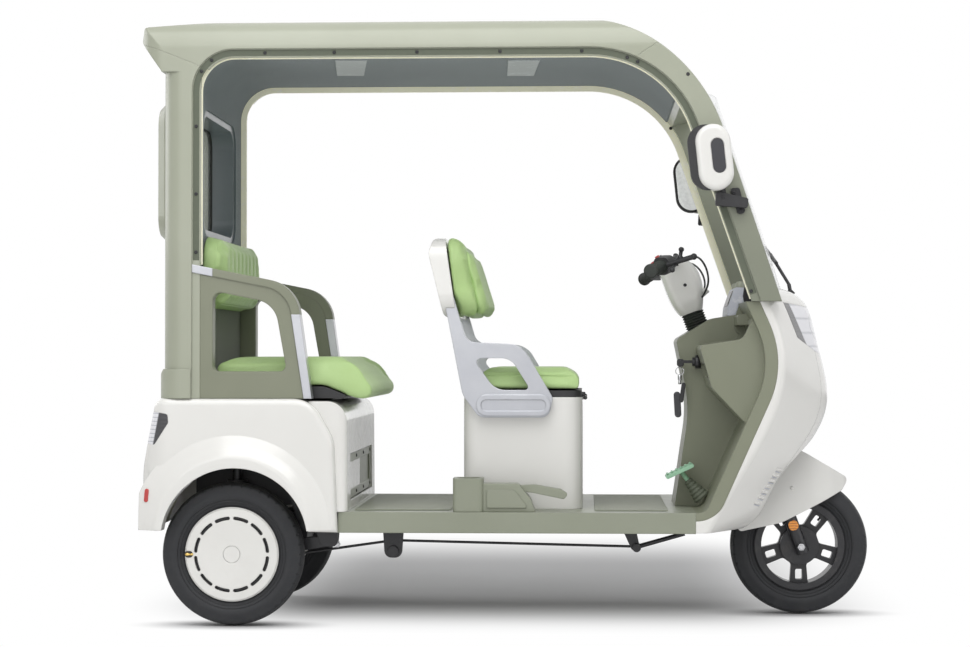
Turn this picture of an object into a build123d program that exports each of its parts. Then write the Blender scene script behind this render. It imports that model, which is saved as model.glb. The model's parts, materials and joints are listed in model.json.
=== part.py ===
from build123d import *
from functools import cache
import math
import os

# Electric passenger tricycle: one steered wheel in front, two driven wheels behind,
# an open-sided cab with a roof, a driver's seat and a rear bench.
# Millimetres. +X is forward, +Y is the vehicle's left, +Z is up, and Z = 0 is the ground.

# Main sizes
body_half_width = 455.0
roof_top = 1826.0
wheel_diameter = 430.0
rear_axle_x = -831.0
front_axle_x = 891.0
far = 2 * body_half_width  # reach of a cut that goes right through

# Wheels and axles
tyre_width = 92.0
bead_diameter = 256.0
rim_flange_diameter = 282.0
rim_width = 80.0
cover_diameter = 275.0
cover_slot_count = 12
cover_slot_diameter = 216.0
spoke_pair_count = 5
wheel_inset = 70.0
rear_track = 2 * (body_half_width - wheel_inset)
axle_z = wheel_diameter / 2
axle_stub_radius = 12.0
front_axle_radius = 8.0
running_gap = 0.3
moving_clearance = 6.0

# Steering
rake_deg = 20.0
fork_offset = 62.0
fork_leg_radius = 15.0
fork_leg_y = 72.0
yoke_gap = 47.0
yoke_height = wheel_diameter / 2 + yoke_gap
stem_radius = 20.0
head_tube_radius = 29.0
handlebar_half_width = 345.0
handlebar_radius = 11.0

# Body
wall = 20.0
skin_half_width = body_half_width + 7.0
cab_inner_half = body_half_width - 30.0
deck_inset = 25.0
deck_half_width = body_half_width - deck_inset
deck_top = 343.0
deck_bottom = 281.0
deck_rear_x = -512.0
deck_front_x = 549.0
deck_plate = 20.0
door_head = 128.0
door_top = roof_top - door_head
visor_low = roof_top - 171.0
door_rear_x = -924.0
door_foot_z = 968.0
door_foot_x = 714.0
door_bend_x = 461.0
rear_wall_x = -1038.0
bench_z = 680.0
liner_recess = 20.0
liner_thickness = 5.0
pillar_thickness = 70.0

# Seats
seat_inset = 140.0
seat_half_width = deck_half_width - seat_inset
seat_top = 682.0
arm_thickness = 28.0
cushion_gap = 6.0

rake = math.radians(rake_deg)
steer_up = Vector(-math.sin(rake), 0, math.cos(rake))
steer_forward = Vector(math.cos(rake), 0, math.sin(rake))
front_axle = Vector(front_axle_x, 0, axle_z)
steer_foot = front_axle - steer_forward * fork_offset


# Drawing helpers
def outline(corners):
    """Closed face from (u, v, radius) corners; each corner with a radius becomes an arc."""
    points = [Vector(u, v) for u, v, _ in corners]
    starts, mids, ends = [], [], []
    for i, (_, _, radius) in enumerate(corners):
        here, before, after = points[i], points[i - 1], points[(i + 1) % len(points)]
        if radius == 0:
            starts.append(here)
            mids.append(None)
            ends.append(here)
            continue
        back = (before - here).normalized()
        on = (after - here).normalized()
        half = math.radians(back.get_angle(on)) / 2
        inward = (back + on).normalized()
        starts.append(here + back * (radius / math.tan(half)))
        ends.append(here + on * (radius / math.tan(half)))
        mids.append(here + inward * (radius / math.sin(half) - radius))
    edges = []
    for i, start in enumerate(starts):
        if (start - ends[i - 1]).dot(points[i] - points[i - 1]) < -1e-6:
            raise ValueError(f"corner radii overlap between {corners[i - 1]} and {corners[i]}")
        if (start - ends[i - 1]).length > 1e-6:
            edges.append(Line(ends[i - 1], start))
        if mids[i] is not None:
            edges.append(ThreePointArc(start, mids[i], ends[i]))
    return make_face(edges)


def across(face, y_low, y_high):
    """Side-view face (x, z) pushed through the vehicle's width."""
    return extrude(Plane.XZ.offset(-y_high) * face, amount=y_high - y_low)


def upward(face, z_low, z_high):
    """Plan-view face (x, y) pushed upwards."""
    return extrude(Plane.XY.offset(z_low) * face, amount=z_high - z_low)


def lengthwise(face, x_low, x_high):
    """End-view face (y, z) pushed along the vehicle."""
    return extrude(Plane.YZ.offset(x_low) * face, amount=x_high - x_low)


def block(x_low, x_high, y_low, y_high, z_low, z_high):
    size = Box(x_high - x_low, y_high - y_low, z_high - z_low)
    return Pos((x_low + x_high) / 2, (y_low + y_high) / 2, (z_low + z_high) / 2) * size


def rod(start, end, radius):
    start, end = Vector(*start), Vector(*end)
    plane = Plane(origin=start, z_dir=end - start)
    return extrude(plane * Circle(radius), amount=(end - start).length)


def tube(points, radius, bend):
    path = FilletPolyline(*points, radius=bend)
    return sweep(Plane(origin=path @ 0, z_dir=path % 0) * Circle(radius), path=path)


def pair(part):
    """The right-hand piece and its mirror image on the left."""
    return part + mirror(part, about=Plane.XZ)


def turned(profile):
    """Ring about the Y axis from (radius, y, corner radius) points."""
    return revolve(outline(profile), axis=Axis.Y)


def steer_point(forward, up, y=0.0):
    """Point measured from the foot of the steering axis, along and up the fork."""
    return steer_foot + steer_forward * forward + steer_up * up + Vector(0, y, 0)


def steer_plane(up):
    return Plane(origin=steer_point(0, up), x_dir=steer_forward, z_dir=steer_up)


# Wheels, made about the origin with the outer side towards +Y
def tyre():
    half, outer, bead = tyre_width / 2, wheel_diameter / 2, bead_diameter / 2
    shoulder, shoulder_drop, crown = half - 7, 9, 90
    crown_rise = crown / math.cos(math.atan2(shoulder_drop, shoulder)) - crown
    return turned(
        [
            (bead + running_gap, -rim_width / 2 + 7, 0),
            (bead + 14, -rim_width / 2 + 7, 0),
            (bead + 45, -half - 3, 22),
            (outer - shoulder_drop, -shoulder, 9),
            (outer + crown_rise, 0, crown),
            (outer - shoulder_drop, shoulder, 9),
            (bead + 45, half + 3, 22),
            (bead + 14, rim_width / 2 - 7, 0),
            (bead + running_gap, rim_width / 2 - 7, 0),
        ]
    )


def rim_barrel():
    half, bead, flange = rim_width / 2, bead_diameter / 2, rim_flange_diameter / 2
    inside = bead - 9
    return turned(
        [
            (inside, -half, 0),
            (flange, -half, 3),
            (flange, -half + 6.5, 3),
            (bead, -half + 6.5, 0),
            (bead, half - 6.5, 0),
            (flange, half - 6.5, 3),
            (flange, half, 3),
            (inside, half, 0),
        ]
    )


def rear_wheel():
    """Pressed disc cover with a ring of slots, on its rim, hub and brake drum."""
    half = rim_width / 2
    cover_radius = cover_diameter / 2
    bore = axle_stub_radius + running_gap
    cover = turned(
        [
            (0, half - 6, 0),
            (cover_radius - 14, half - 6, 0),
            (cover_radius - 14, half, 0),
            (cover_radius, half, 0),
            (cover_radius, half + 3, 2),
            (cover_radius - 40, half + 6, 60),
            (30, half + 4, 0),
            (27, half + 3, 0),
            (0, half + 3, 0),
        ]
    )
    slot_gap = 10.5
    slot_arc = 360 / cover_slot_count - slot_gap
    for i in range(cover_slot_count):
        start = 360 / cover_slot_count * i + slot_gap / 2
        arc = CenterArc((0, 0), cover_slot_diameter / 2, start, slot_arc)
        cover -= across(SlotArc(arc, 10), half - 10, half + 12)
    valve_notch = outline(
        [
            (-cover_radius - 5, -10, 0),
            (-cover_radius + 21, -10, 9),
            (-cover_radius + 21, 10, 9),
            (-cover_radius - 5, 10, 0),
        ]
    )
    cover -= across(valve_notch, half - 10, half + 12)
    drum_radius, drum_inner = 70, 40
    hub = turned(
        [
            (bore, -52, 0),
            (drum_radius, -52, 4),
            (drum_radius, -8, 6),
            (drum_inner, half - 6, 0),
            (bore, half - 6, 0),
        ],
    )
    spider = turned(
        [
            (drum_radius - 8, -14, 0),
            (bead_diameter / 2 - 5, -6, 0),
            (bead_diameter / 2 - 5, 4, 0),
            (drum_radius - 20, -4, 0),
        ],
    )
    return rim_barrel() + cover + hub + spider


def front_wheel():
    """Cast wheel with twin spokes, a window in each twin and a wide gap between twins."""
    hub_radius, hub_half = 52, 22
    bore = front_axle_radius + running_gap
    rim_inside = bead_diameter / 2 - 7
    web_half = 13
    wheel = rim_barrel()
    wheel += turned(
        [(bore, -hub_half, 0), (hub_radius, -hub_half, 4), (hub_radius, hub_half, 4), (bore, hub_half, 0)],
    )
    web = turned(
        [
            (hub_radius - 10, -web_half, 0),
            (rim_inside, -web_half, 0),
            (rim_inside, web_half, 0),
            (hub_radius - 10, web_half, 0),
        ],
    )
    pitch = 360 / spoke_pair_count
    gap_outer, gap_inner, gap_edge = 46, 16, 23
    for i in range(spoke_pair_count):
        gap = outline(
            [
                (hub_radius + 10, -gap_inner, 13),
                (rim_inside - 10, -gap_outer, 6),
                (rim_inside + 4, -gap_edge, 0),
                (rim_inside + 4, gap_edge, 0),
                (rim_inside - 10, gap_outer, 6),
                (hub_radius + 10, gap_inner, 13),
            ]
        )
        window = Pos(92, 0) * RectangleRounded(32, 22, 5)
        web -= across(Rot(0, 0, pitch * i + 90) * gap, -tyre_width, tyre_width)
        web -= across(Rot(0, 0, pitch * (i + 0.5) + 90) * window, -tyre_width, tyre_width)
    return wheel + web


# Running gear under the body
def rear_axle():
    """Beam axle with the drive motor and gear case, brake plates and wheel stubs."""
    centre = Vector(rear_axle_x, 0, axle_z)
    plate_y = rear_track / 2 - 52 - moving_clearance - 10
    parts = rod(centre + Vector(0, -plate_y, 0), centre + Vector(0, plate_y, 0), 27)
    parts += rod(centre + Vector(0, -60, 0), centre + Vector(0, 70, 0), 82)
    parts += rod(centre + Vector(95, 40, 25), centre + Vector(95, suspension_y - 75, 25), 72)
    parts += block(rear_axle_x + 20, rear_axle_x + 100, -20, 60, axle_z - 40, axle_z + 80)
    for side in (-1, 1):
        plate = centre + Vector(0, side * plate_y, 0)
        parts += rod(plate, plate + Vector(0, side * 10, 0), 76)
        stub_end = centre + Vector(0, side * (rear_track / 2 + rim_width / 2 - 6 - moving_clearance), 0)
        parts += rod(plate, stub_end, axle_stub_radius)
    return parts


suspension_y = rear_track / 2 - 100.0
arm_pivot = (-556.0, 247.0)
spring_top_z = 474.0


def rear_suspension():
    """Trailing arms from the frame's brackets to the axle, and a coil-over on each side."""
    pivot_x, pivot_z = arm_pivot
    arm = across(
        outline(
            [
                (pivot_x + 20, pivot_z - 14, 12),
                (pivot_x + 20, pivot_z + 14, 12),
                (rear_axle_x + 45, axle_z + 30, 20),
                (rear_axle_x + 27.5, axle_z + 30, 0),
                (rear_axle_x + 27.5, axle_z - 22, 0),
                (rear_axle_x + 45, axle_z - 26, 20),
            ]
        ),
        -suspension_y - 16,
        -suspension_y + 16,
    )
    arm -= rod((rear_axle_x, -400, axle_z), (rear_axle_x, 400, axle_z), 27)
    foot_z, coil_low, coil_high = axle_z + 27, axle_z + 60, spring_top_z - 50
    shock_x = rear_axle_x - 6
    shock = rod((shock_x, -suspension_y, foot_z - 6), (shock_x, -suspension_y, spring_top_z), 14)
    shock -= rod((rear_axle_x, -400, axle_z), (rear_axle_x, 400, axle_z), 27)
    coil_count = 7
    coil_pitch = (coil_high - coil_low) / coil_count
    for i in range(coil_count):
        ring_z = coil_low + coil_pitch * (i + 0.5)
        shock += Pos(shock_x, -suspension_y, ring_z) * Torus(24, 5.5)
        shock += rod((shock_x, -suspension_y, ring_z - 4), (shock_x, -suspension_y, ring_z + 4), 21)
    for seat_z in (coil_low - 6, coil_high):
        shock += rod((shock_x, -suspension_y, seat_z), (shock_x, -suspension_y, seat_z + 6), 31)
    return pair(arm + shock)


rail_y = suspension_y - 45.0
rail_width = 40.0
rail_height = 44.0
jack_pad_x = 330.0
jack_pad_z = deck_bottom - 11.0


@cache
def chassis_frame():
    """Ladder of box rails under the deck, a kick-up over the axle and the steering head."""
    rail_top = deck_top - deck_plate
    rail_low = rail_top - rail_height
    rear_x, front_x = -640.0, 500.0
    frame = pair(
        block(rear_x, front_x, -rail_y - rail_width / 2, -rail_y + rail_width / 2, rail_low, rail_top),
    )
    for cross_x in (-420, -60, 250, 480):
        frame += block(cross_x - 20, cross_x + 20, -rail_y, rail_y, rail_low + 6, rail_top)
    frame += block(rear_x, rear_x + 40, -suspension_y - 20, suspension_y + 20, rail_low, rail_top)
    kick = across(
        outline(
            [
                (rear_x + 36, rail_low + 2, 0),
                (rear_x + 36, rail_top, 0),
                (rear_x - 46, spring_top_z + 30, 40),
                (-1030, spring_top_z + 30, 0),
                (-1030, spring_top_z, 0),
                (rear_x - 70, spring_top_z, 40),
                (rear_x, rail_low + 2, 0),
            ]
        ),
        -suspension_y - 15,
        -suspension_y + 15,
    )
    frame += pair(kick)
    frame += block(-1030, -1000, -suspension_y, suspension_y, spring_top_z, spring_top_z + 30)
    pivot_x, pivot_z = arm_pivot
    for side_y in (-20, 20):
        bracket_y = -suspension_y + side_y
        bracket = across(
            outline(
                [
                    (pivot_x - 22, pivot_z - 18, 14),
                    (pivot_x + 26, pivot_z - 18, 14),
                    (pivot_x + 34, rail_top, 0),
                    (rear_x + 30, rail_top, 0),
                ],
            ),
            bracket_y - 3,
            bracket_y + 3,
        )
        frame += pair(bracket)
    frame += pair(block(pivot_x - 50, pivot_x + 34, -suspension_y - 23, -rail_y, rail_top - 12, rail_top))
    head_low = yoke_height + 83.0
    head_high = head_low + 215.0
    head = extrude(steer_plane(head_low) * Circle(head_tube_radius), amount=head_high - head_low)
    neck_top = steer_point(-head_tube_radius + 4, head_low + 60)
    neck = tube(
        [
            (480, 0, rail_low + 16),
            (580, 0, rail_low + 26),
            (neck_top.X - 60, 0, neck_top.Z - 60),
            (neck_top.X, 0, neck_top.Z),
        ],
        21,
        60,
    )
    frame += head + neck
    frame -= extrude(
        steer_plane(head_low - 60) * Circle(stem_radius + running_gap), amount=head_high - head_low + 120
    )
    pads = block(
        jack_pad_x - 30,
        jack_pad_x + 30,
        -rail_y - rail_width / 2,
        -rail_y + rail_width / 2,
        jack_pad_z,
        rail_low,
    )
    return frame + pair(pads)


def brake_linkage():
    """Pedal shaft, rods and the equaliser that hang below the deck."""
    rail_low = deck_top - deck_plate - rail_height
    hanger_y = -rail_y + rail_width / 2 + 8
    front_x, rear_x = 379.0, -366.0
    parts = across(
        outline(
            [
                (front_x - 58, rail_low + 30, 0),
                (front_x - 14, 213, 12),
                (front_x + 12, 213, 12),
                (front_x - 8, rail_low + 30, 0),
            ],
        ),
        hanger_y - 5,
        hanger_y + 5,
    )
    parts += rod((front_x, hanger_y - 22, 222), (front_x, hanger_y + 60, 222), 13)
    parts += rod((front_x, hanger_y + 12, 222), (526, hanger_y + 12, 264), 7)
    parts += across(
        outline(
            [
                (rear_x - 34, rail_low + 30, 0),
                (rear_x - 26, 188, 22),
                (rear_x + 26, 188, 22),
                (rear_x + 34, rail_low + 30, 0),
            ],
        ),
        hanger_y - 8,
        hanger_y + 8,
    )
    parts += rod((rear_x, hanger_y - 20, 208), (rear_x, hanger_y + 20, 208), 17)
    parts += rod((front_x, hanger_y + 30, 222), (rear_x, hanger_y + 12, 240), 4)
    parts += rod((rear_x, hanger_y + 12, 240), (rear_axle_x + 90, hanger_y - 40, 190), 4)
    return parts


# Body below the bench
flare_x, flare_z = -822.0, axle_z + 63.0
arch_x, arch_z = -815.0, axle_z + 41.0
arch_radius = wheel_diameter / 2 + 4.0
flare_half_width = body_half_width + 37.0
front_face_x = -488.0


@cache
def rear_body_shape():
    side = outline(
        [
            (-1050, 290, 22),
            (-1104, 290, 22),
            (-1100, 470, 300),
            (-1056, bench_z, 30),
            (-590, bench_z, 92),
            (-524, 560, 90),
            (deck_rear_x, deck_bottom + 2, 0),
        ]
    )
    plan = outline(
        [
            (-1110, -skin_half_width, 90),
            (deck_rear_x + 20, -skin_half_width, 0),
            (deck_rear_x + 20, skin_half_width, 0),
            (-1110, skin_half_width, 90),
        ]
    )
    shape = across(side, -far, far) & upward(plan, 0, bench_z + 50)
    rim = shape.edges().filter_by_position(Axis.Y, -skin_half_width - 1, -skin_half_width + 1)
    rim += shape.edges().filter_by_position(Axis.Y, skin_half_width - 1, skin_half_width + 1)
    shape = fillet([edge for edge in rim if edge.bounding_box().max.Z > deck_top], 18)
    flare = revolve(
        outline(
            [
                (arch_radius - 69, cab_inner_half, 0),
                (arch_radius + 88, cab_inner_half, 0),
                (arch_radius + 88, skin_half_width - 6, 0),
                (arch_radius + 42, skin_half_width + 13, 60),
                (arch_radius + 12, flare_half_width, 22),
                (arch_radius - 69, flare_half_width, 0),
            ]
        ),
        axis=Axis.Y,
    )
    flare = Pos(flare_x, 0, flare_z) * flare
    flare -= block(-2000, deck_rear_x, 0, far, -400, 290)
    flare &= block(-1104, deck_rear_x, 0, far, 0, bench_z)
    shape += flare + mirror(flare, about=Plane.XZ)
    front = across(
        outline(
            [
                (-600, bench_z - 8, 0),
                (front_face_x, bench_z - 8, 58),
                (front_face_x + 3, deck_top + running_gap, 0),
                (-560, deck_top + running_gap, 0),
            ]
        ),
        -far,
        far,
    )
    front &= upward(
        outline(
            [
                (-620, -skin_half_width + 24, 0),
                (front_face_x + 4, -skin_half_width + 24, 30),
                (front_face_x + 4, skin_half_width - 24, 30),
                (-620, skin_half_width - 24, 0),
            ]
        ),
        0,
        bench_z,
    )
    shape += front
    cavity = across(
        outline(
            [
                (-1080, 0, 0),
                (-1078, 470, 280),
                (-1036, bench_z - wall, 24),
                (-598, bench_z - wall, 78),
                (-546, 560, 70),
                (-540, 0, 0),
            ],
        ),
        -skin_half_width + 22,
        skin_half_width - 22,
    )
    shape -= cavity
    for side_sign in (-1, 1):
        arch_start = (arch_x, side_sign * (rear_track / 2 - 5), arch_z)
        shape -= rod(arch_start, (arch_x, side_sign * far, arch_z), arch_radius)
    return shape


@cache
def lamp_zone():
    """Wedge at the tail's corner that the rear lamp fills."""
    zone = outline(
        [
            (-1061, 641, 4),
            (-1018, 634, 9),
            (-1016, 608, 8),
            (-1060, 541, 12),
            (-1140, 560, 0),
            (-1140, 650, 0),
        ],
    )
    return pair(across(zone, -far, -body_half_width + 155))


cover_seat_x = front_face_x - 18.0
cover_half_width = body_half_width - 125.0


def cover_zone():
    return block(cover_seat_x, deck_front_x, -cover_half_width, cover_half_width, 372, 512)


def wheel_arch_liners():
    """Curved mudguard above each rear wheel, inside the body's arch."""
    sweep_low, sweep_high = 12, 168
    inner, outer = arch_radius + 13, arch_radius + 17
    band = outline(
        [
            (inner, rear_track / 2 - 75, 0),
            (outer, rear_track / 2 - 75, 0),
            (outer, skin_half_width - 22.5, 0),
            (inner, skin_half_width - 22.5, 0),
        ],
    )
    ring = Pos(arch_x, 0, arch_z) * Rot(0, -sweep_low, 0) * revolve(
        band, axis=Axis.Y, revolution_arc=sweep_low - sweep_high
    )
    return pair(ring) - chassis_frame() - battery_block()


def rear_body():
    rail_notch = block(
        -600, deck_rear_x + 10, -suspension_y - 32, suspension_y + 32, 0, deck_top - deck_plate + 4
    )
    return rear_body_shape() - lamp_zone() - cover_zone() - rail_notch


def battery_cover():
    half = cover_half_width - 3
    cover = block(cover_seat_x, cover_seat_x + 14, -half, half, 375, 509)
    return cover - block(cover_seat_x + 10, deck_front_x, -half + 27, half - 27, 400, 484)


def rear_lamps():
    lamps = rear_body_shape() & lamp_zone()
    reflector = block(-1106, -1098, -body_half_width + 60, -body_half_width + 100, 376, 412)
    return lamps + pair(reflector - rear_body_shape())


@cache
def battery_block():
    half, rail_inner = suspension_y - 40, suspension_y - 15
    pack = block(-970, -645, -half, half, 350, 635)
    return pack + block(-960, -710, -rail_inner, rail_inner, spring_top_z + 2, spring_top_z + 28)


# Deck
@cache
def floor_deck():
    """Tray with side skirts, a ribbed top and a raised lip along each edge."""
    half = deck_half_width
    deck = block(deck_rear_x, deck_front_x, -half, half, deck_bottom, deck_top)
    deck -= block(
        deck_rear_x - 1,
        deck_front_x - wall,
        -half + wall,
        half - wall,
        deck_bottom - 1,
        deck_top - deck_plate,
    )
    rib_width, rib_height, rib_pitch = 16, 4, 40
    rib_count = int((deck_half_width - 40) / rib_pitch)
    for i in range(-rib_count, rib_count):
        y = (i + 0.5) * rib_pitch
        for x_low, x_high in ((-470, -180), (250, 470)):
            deck += block(
                x_low, x_high, y - rib_width / 2, y + rib_width / 2, deck_top, deck_top + rib_height
            )
    deck -= block(440, deck_front_x + 1, -90, 90, deck_bottom - 1, deck_top - deck_plate)
    deck -= block(503, deck_front_x + 1, -40, 40, deck_bottom - 1, deck_top + 1)
    return deck


# Cab ring: rear wall, roof and windscreen frame are cut from one portal
@cache
def opening_face():
    """The side door opening, edge to edge, closed below the deck."""
    return outline(
        [
            (door_foot_x, door_foot_z, 0),
            (door_bend_x, door_top, 318),
            (door_rear_x, door_top, 100),
            (door_rear_x, bench_z - 100, 0),
            (door_foot_x, bench_z - 100, 0),
        ]
    )


@cache
def portal():
    outer = outline(
        [
            (rear_wall_x, bench_z, 0),
            (rear_wall_x, visor_low, 30),
            (-1106, roof_top - 78, 12),
            (-1096, roof_top - 34, 14),
            (-720, roof_top, 1500),
            (514, roof_top, 508),
            (801, door_foot_z, 0),
            (door_foot_x - 60, door_foot_z, 0),
            (door_foot_x - 60, bench_z, 0),
        ]
    )
    end_view = outline(
        [
            (-body_half_width, 600, 0),
            (body_half_width, 600, 0),
            (body_half_width, roof_top - 18, 90),
            (0, roof_top + 2, 4000),
            (-body_half_width, roof_top - 18, 90),
        ]
    )
    plan = outline(
        [
            (-1110, -body_half_width, 75),
            (900, -body_half_width, 60),
            (900, body_half_width, 60),
            (-1110, body_half_width, 75),
        ],
    )
    rear_plan = outline(
        [
            (rear_wall_x, -body_half_width, 60),
            (900, -body_half_width, 0),
            (900, body_half_width, 0),
            (rear_wall_x, body_half_width, 60),
        ]
    )
    opening = opening_face()
    shape = across(outer, -body_half_width - 5, body_half_width + 5) - across(opening, -far, far)
    shape &= lengthwise(end_view, -1200, 900)
    wall_zone = upward(rear_plan, 0, visor_low) + upward(plan, visor_low, roof_top + 100)
    shape &= wall_zone
    shape -= across(offset(opening, liner_recess), -cab_inner_half, cab_inner_half)
    groove = across(offset(opening, 24), body_half_width - 7, body_half_width + 10)
    return shape - groove - mirror(groove, about=Plane.XZ)


rear_seam = Plane(origin=(rear_wall_x, 0, door_top + 18), z_dir=(73, 0, 186))
front_seam = Plane(origin=(410, 0, door_top + 18), z_dir=(43, 0, -63))
window_half_width = body_half_width - 170.0
window_high = door_top - 153.0
window_low = window_high - 350.0
window_hump = 40.0


def window_face(margin, radius):
    return outline(
        [
            (-window_half_width - margin, window_low - margin, radius),
            (window_half_width + margin, window_low - margin, radius),
            (window_half_width + margin, window_high + margin, radius),
            (-window_half_width - margin, window_high + margin, radius),
        ]
    )


@cache
def rear_wall():
    shape = split(portal(), bisect_by=rear_seam, keep=Keep.BOTTOM)
    shape &= block(-1200, door_rear_x + 1, -far, far, bench_z, roof_top + 100)
    plinth_half = body_half_width + 5
    plinth = across(
        outline(
            [
                (-1050, bench_z, 0),
                (-1050, 750, 14),
                (rear_wall_x + 2, 768, 0),
                (-950, 768, 0),
                (-950, bench_z, 0),
            ],
        ),
        -far,
        far,
    )
    plinth &= upward(
        outline(
            [
                (-1050, -plinth_half, 66),
                (-900, -plinth_half, 0),
                (-900, plinth_half, 0),
                (-1050, plinth_half, 66),
            ],
        ),
        0,
        900,
    )
    shape += plinth - block(
        door_rear_x - liner_recess - 80, -900, -cab_inner_half, cab_inner_half, 600, 900
    )
    hump = lengthwise(window_face(42, 80), rear_wall_x - window_hump, rear_wall_x + 10)
    hump = chamfer(hump.faces().sort_by(Axis.X)[0].edges(), 22)
    shape += hump
    return shape - lengthwise(window_face(0, 60), -1200, -900)


def rear_window():
    pane_x = rear_wall_x + 12
    return lengthwise(window_face(-0.3, 60), pane_x, pane_x + 5)


def roof_shell():
    middle = split(portal(), bisect_by=rear_seam, keep=Keep.TOP)
    return split(middle, bisect_by=front_seam, keep=Keep.BOTTOM)


@cache
def front_frame():
    """Windscreen pillars with the header that joins them."""
    shape = split(portal(), bisect_by=front_seam, keep=Keep.TOP)
    shape &= block(200, 900, -far, far, door_foot_z, roof_top + 100)
    half = body_half_width - pillar_thickness
    light = outline([(460, door_top - 142, 0), (690, door_top - 76, 0), (900, 940, 0), (640, 940, 0)])
    return shape - across(light, -half, half)


@cache
def cab_liner():
    """Cloth-faced lining on the inside of the rear wall and the roof."""
    opening = opening_face()
    sheet = offset(opening, liner_recess) - offset(opening, liner_recess - liner_thickness)
    lining = across(sheet, -cab_inner_half + 9, cab_inner_half - 9)
    lining -= block(-800, 900, -far, far, 0, door_top - 108)
    lining -= block(-1200, 900, -far, far, 0, bench_z)
    return lining - lengthwise(window_face(20, 70), -1200, -900)


@cache
def door_lips():
    """Pale edge strips round both door openings."""
    opening = opening_face()
    strip = offset(opening, liner_recess) - offset(opening, -3)
    lip = across(strip, -cab_inner_half, -cab_inner_half + 8)
    lip -= block(-1200, 900, -far, far, 0, 1080) & block(-1200, 0, -far, far, 0, 1080)
    lip -= block(0, 900, -far, far, 0, door_foot_z + 8)
    return pair(lip)


screen_lean = (801 - 514) / (roof_top - door_foot_z)
glass_low = Vector(786.0, 0, 1000.0)
glass_rise = door_top - 110.0 - glass_low.Z
glass_high = glass_low + Vector(-glass_rise * screen_lean, 0, glass_rise)


@cache
def windscreen():
    """Pane bowed forward between the pillars."""
    half = body_half_width - pillar_thickness - running_gap
    bow, thick = 50.0, 5.0
    up = glass_high - glass_low
    plane = Plane(origin=glass_low, x_dir=(0, 1, 0), z_dir=up)
    front = ThreePointArc((-half, 0), (0, -bow), (half, 0))
    back = ThreePointArc((half, thick), (0, thick - bow), (-half, thick))
    face = make_face([front, Line((half, 0), (half, thick)), back, Line((-half, thick), (-half, 0))])
    return extrude(plane * face, amount=up.length) - nose_cap()


def wiper():
    foot, elbow, tip = Vector(862, -70, 1002), Vector(858, -60, 1030), Vector(802, -40, 1126)
    arm = rod(
        foot - Vector(12, 0, 12), foot + Vector(6, 0, 8), 11
    ) + rod(foot, elbow, 6) + rod(elbow, tip, 5)
    blade = rod(Vector(810, -160, 1092), Vector(794, 80, 1152), 6)
    return arm + blade - nose_cap() - windscreen()


# Front shell: white panels round the wheel, lamps and nose
rim_corners = [(716, 1018, 0), (819, 785, 290), (609, 318, 90), (deck_front_x, 318, 0)]
rim_width_x = 42.0
arch_half_width, arch_top = 235.0, 575.0

# Height, rim x and front x of each section through the shell
shell_sections = [
    (272, 560, 692),
    (345, 600, 790),
    (500, 690, 882),
    (700, 780, 966),
    (860, 780, 932),
    (968, 738, 897),
    (1012, 716, 826),
]


def shell_loft(inset):
    half = deck_half_width - inset
    faces = []
    for z, x_rim, x_front in shell_sections:
        front = x_front - inset
        corners = [
            (x_rim - 60, -half, 0),
            (x_rim + 20, -half, 24),
            (front, -0.46 * half, 180),
            (front, 0.46 * half, 180),
            (x_rim + 20, half, 24),
            (x_rim - 60, half, 0),
        ]
        level = z - (inset if z == shell_sections[-1][0] else 0)
        faces.append(Plane.XY.offset(level) * outline(corners))
    return loft(faces)


@cache
def front_shell():
    behind_rim = outline(rim_corners + [(300, 318, 0), (300, 1018, 0)])
    shape = shell_loft(0) - shell_loft(wall)
    shape -= across(behind_rim, -far, far)
    arch = outline(
        [
            (-arch_half_width, 0, 0),
            (arch_half_width, 0, 0),
            (arch_half_width, arch_top, 150),
            (-arch_half_width, arch_top, 150),
        ]
    )
    shape -= lengthwise(arch, 400, 1200)
    shape -= block(300, 1200, -far, far, 0, deck_bottom + 2)
    shape -= block(300, deck_front_x, -far, far, 0, deck_top)
    shape -= block(300, 745, -far, far, door_foot_z, 1200)
    side_top = block(300, 1200, -far, -body_half_width + pillar_thickness, door_foot_z, 1200)
    return shape - side_top - mirror(side_top, about=Plane.XZ)


nose_line = outline([(600, 968, 0), (812, 968, 0), (960, 946, 0), (960, 1200, 0), (600, 1200, 0)])


@cache
def headlight_zone():
    zone = outline([(815, 967.4, 0), (960, 946, 0), (990, 800, 0), (925, 818, 12), (858, 862, 10)])
    return pair(across(zone, -deck_half_width + 10, -120))


def shield_panels():
    shape = front_shell() - headlight_zone() - across(nose_line, -far, far)
    return shape - block(300, 1200, -arch_half_width, arch_half_width, 0, 1200)


def front_panel():
    shape = front_shell() - headlight_zone() - across(nose_line, -far, far)
    return shape & block(300, 1200, -arch_half_width, arch_half_width, 0, 1200)


@cache
def nose_cap():
    return front_shell() & across(nose_line, -far, far)


def headlights():
    return front_shell() & headlight_zone()


shelf_half_width = 262.0


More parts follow.
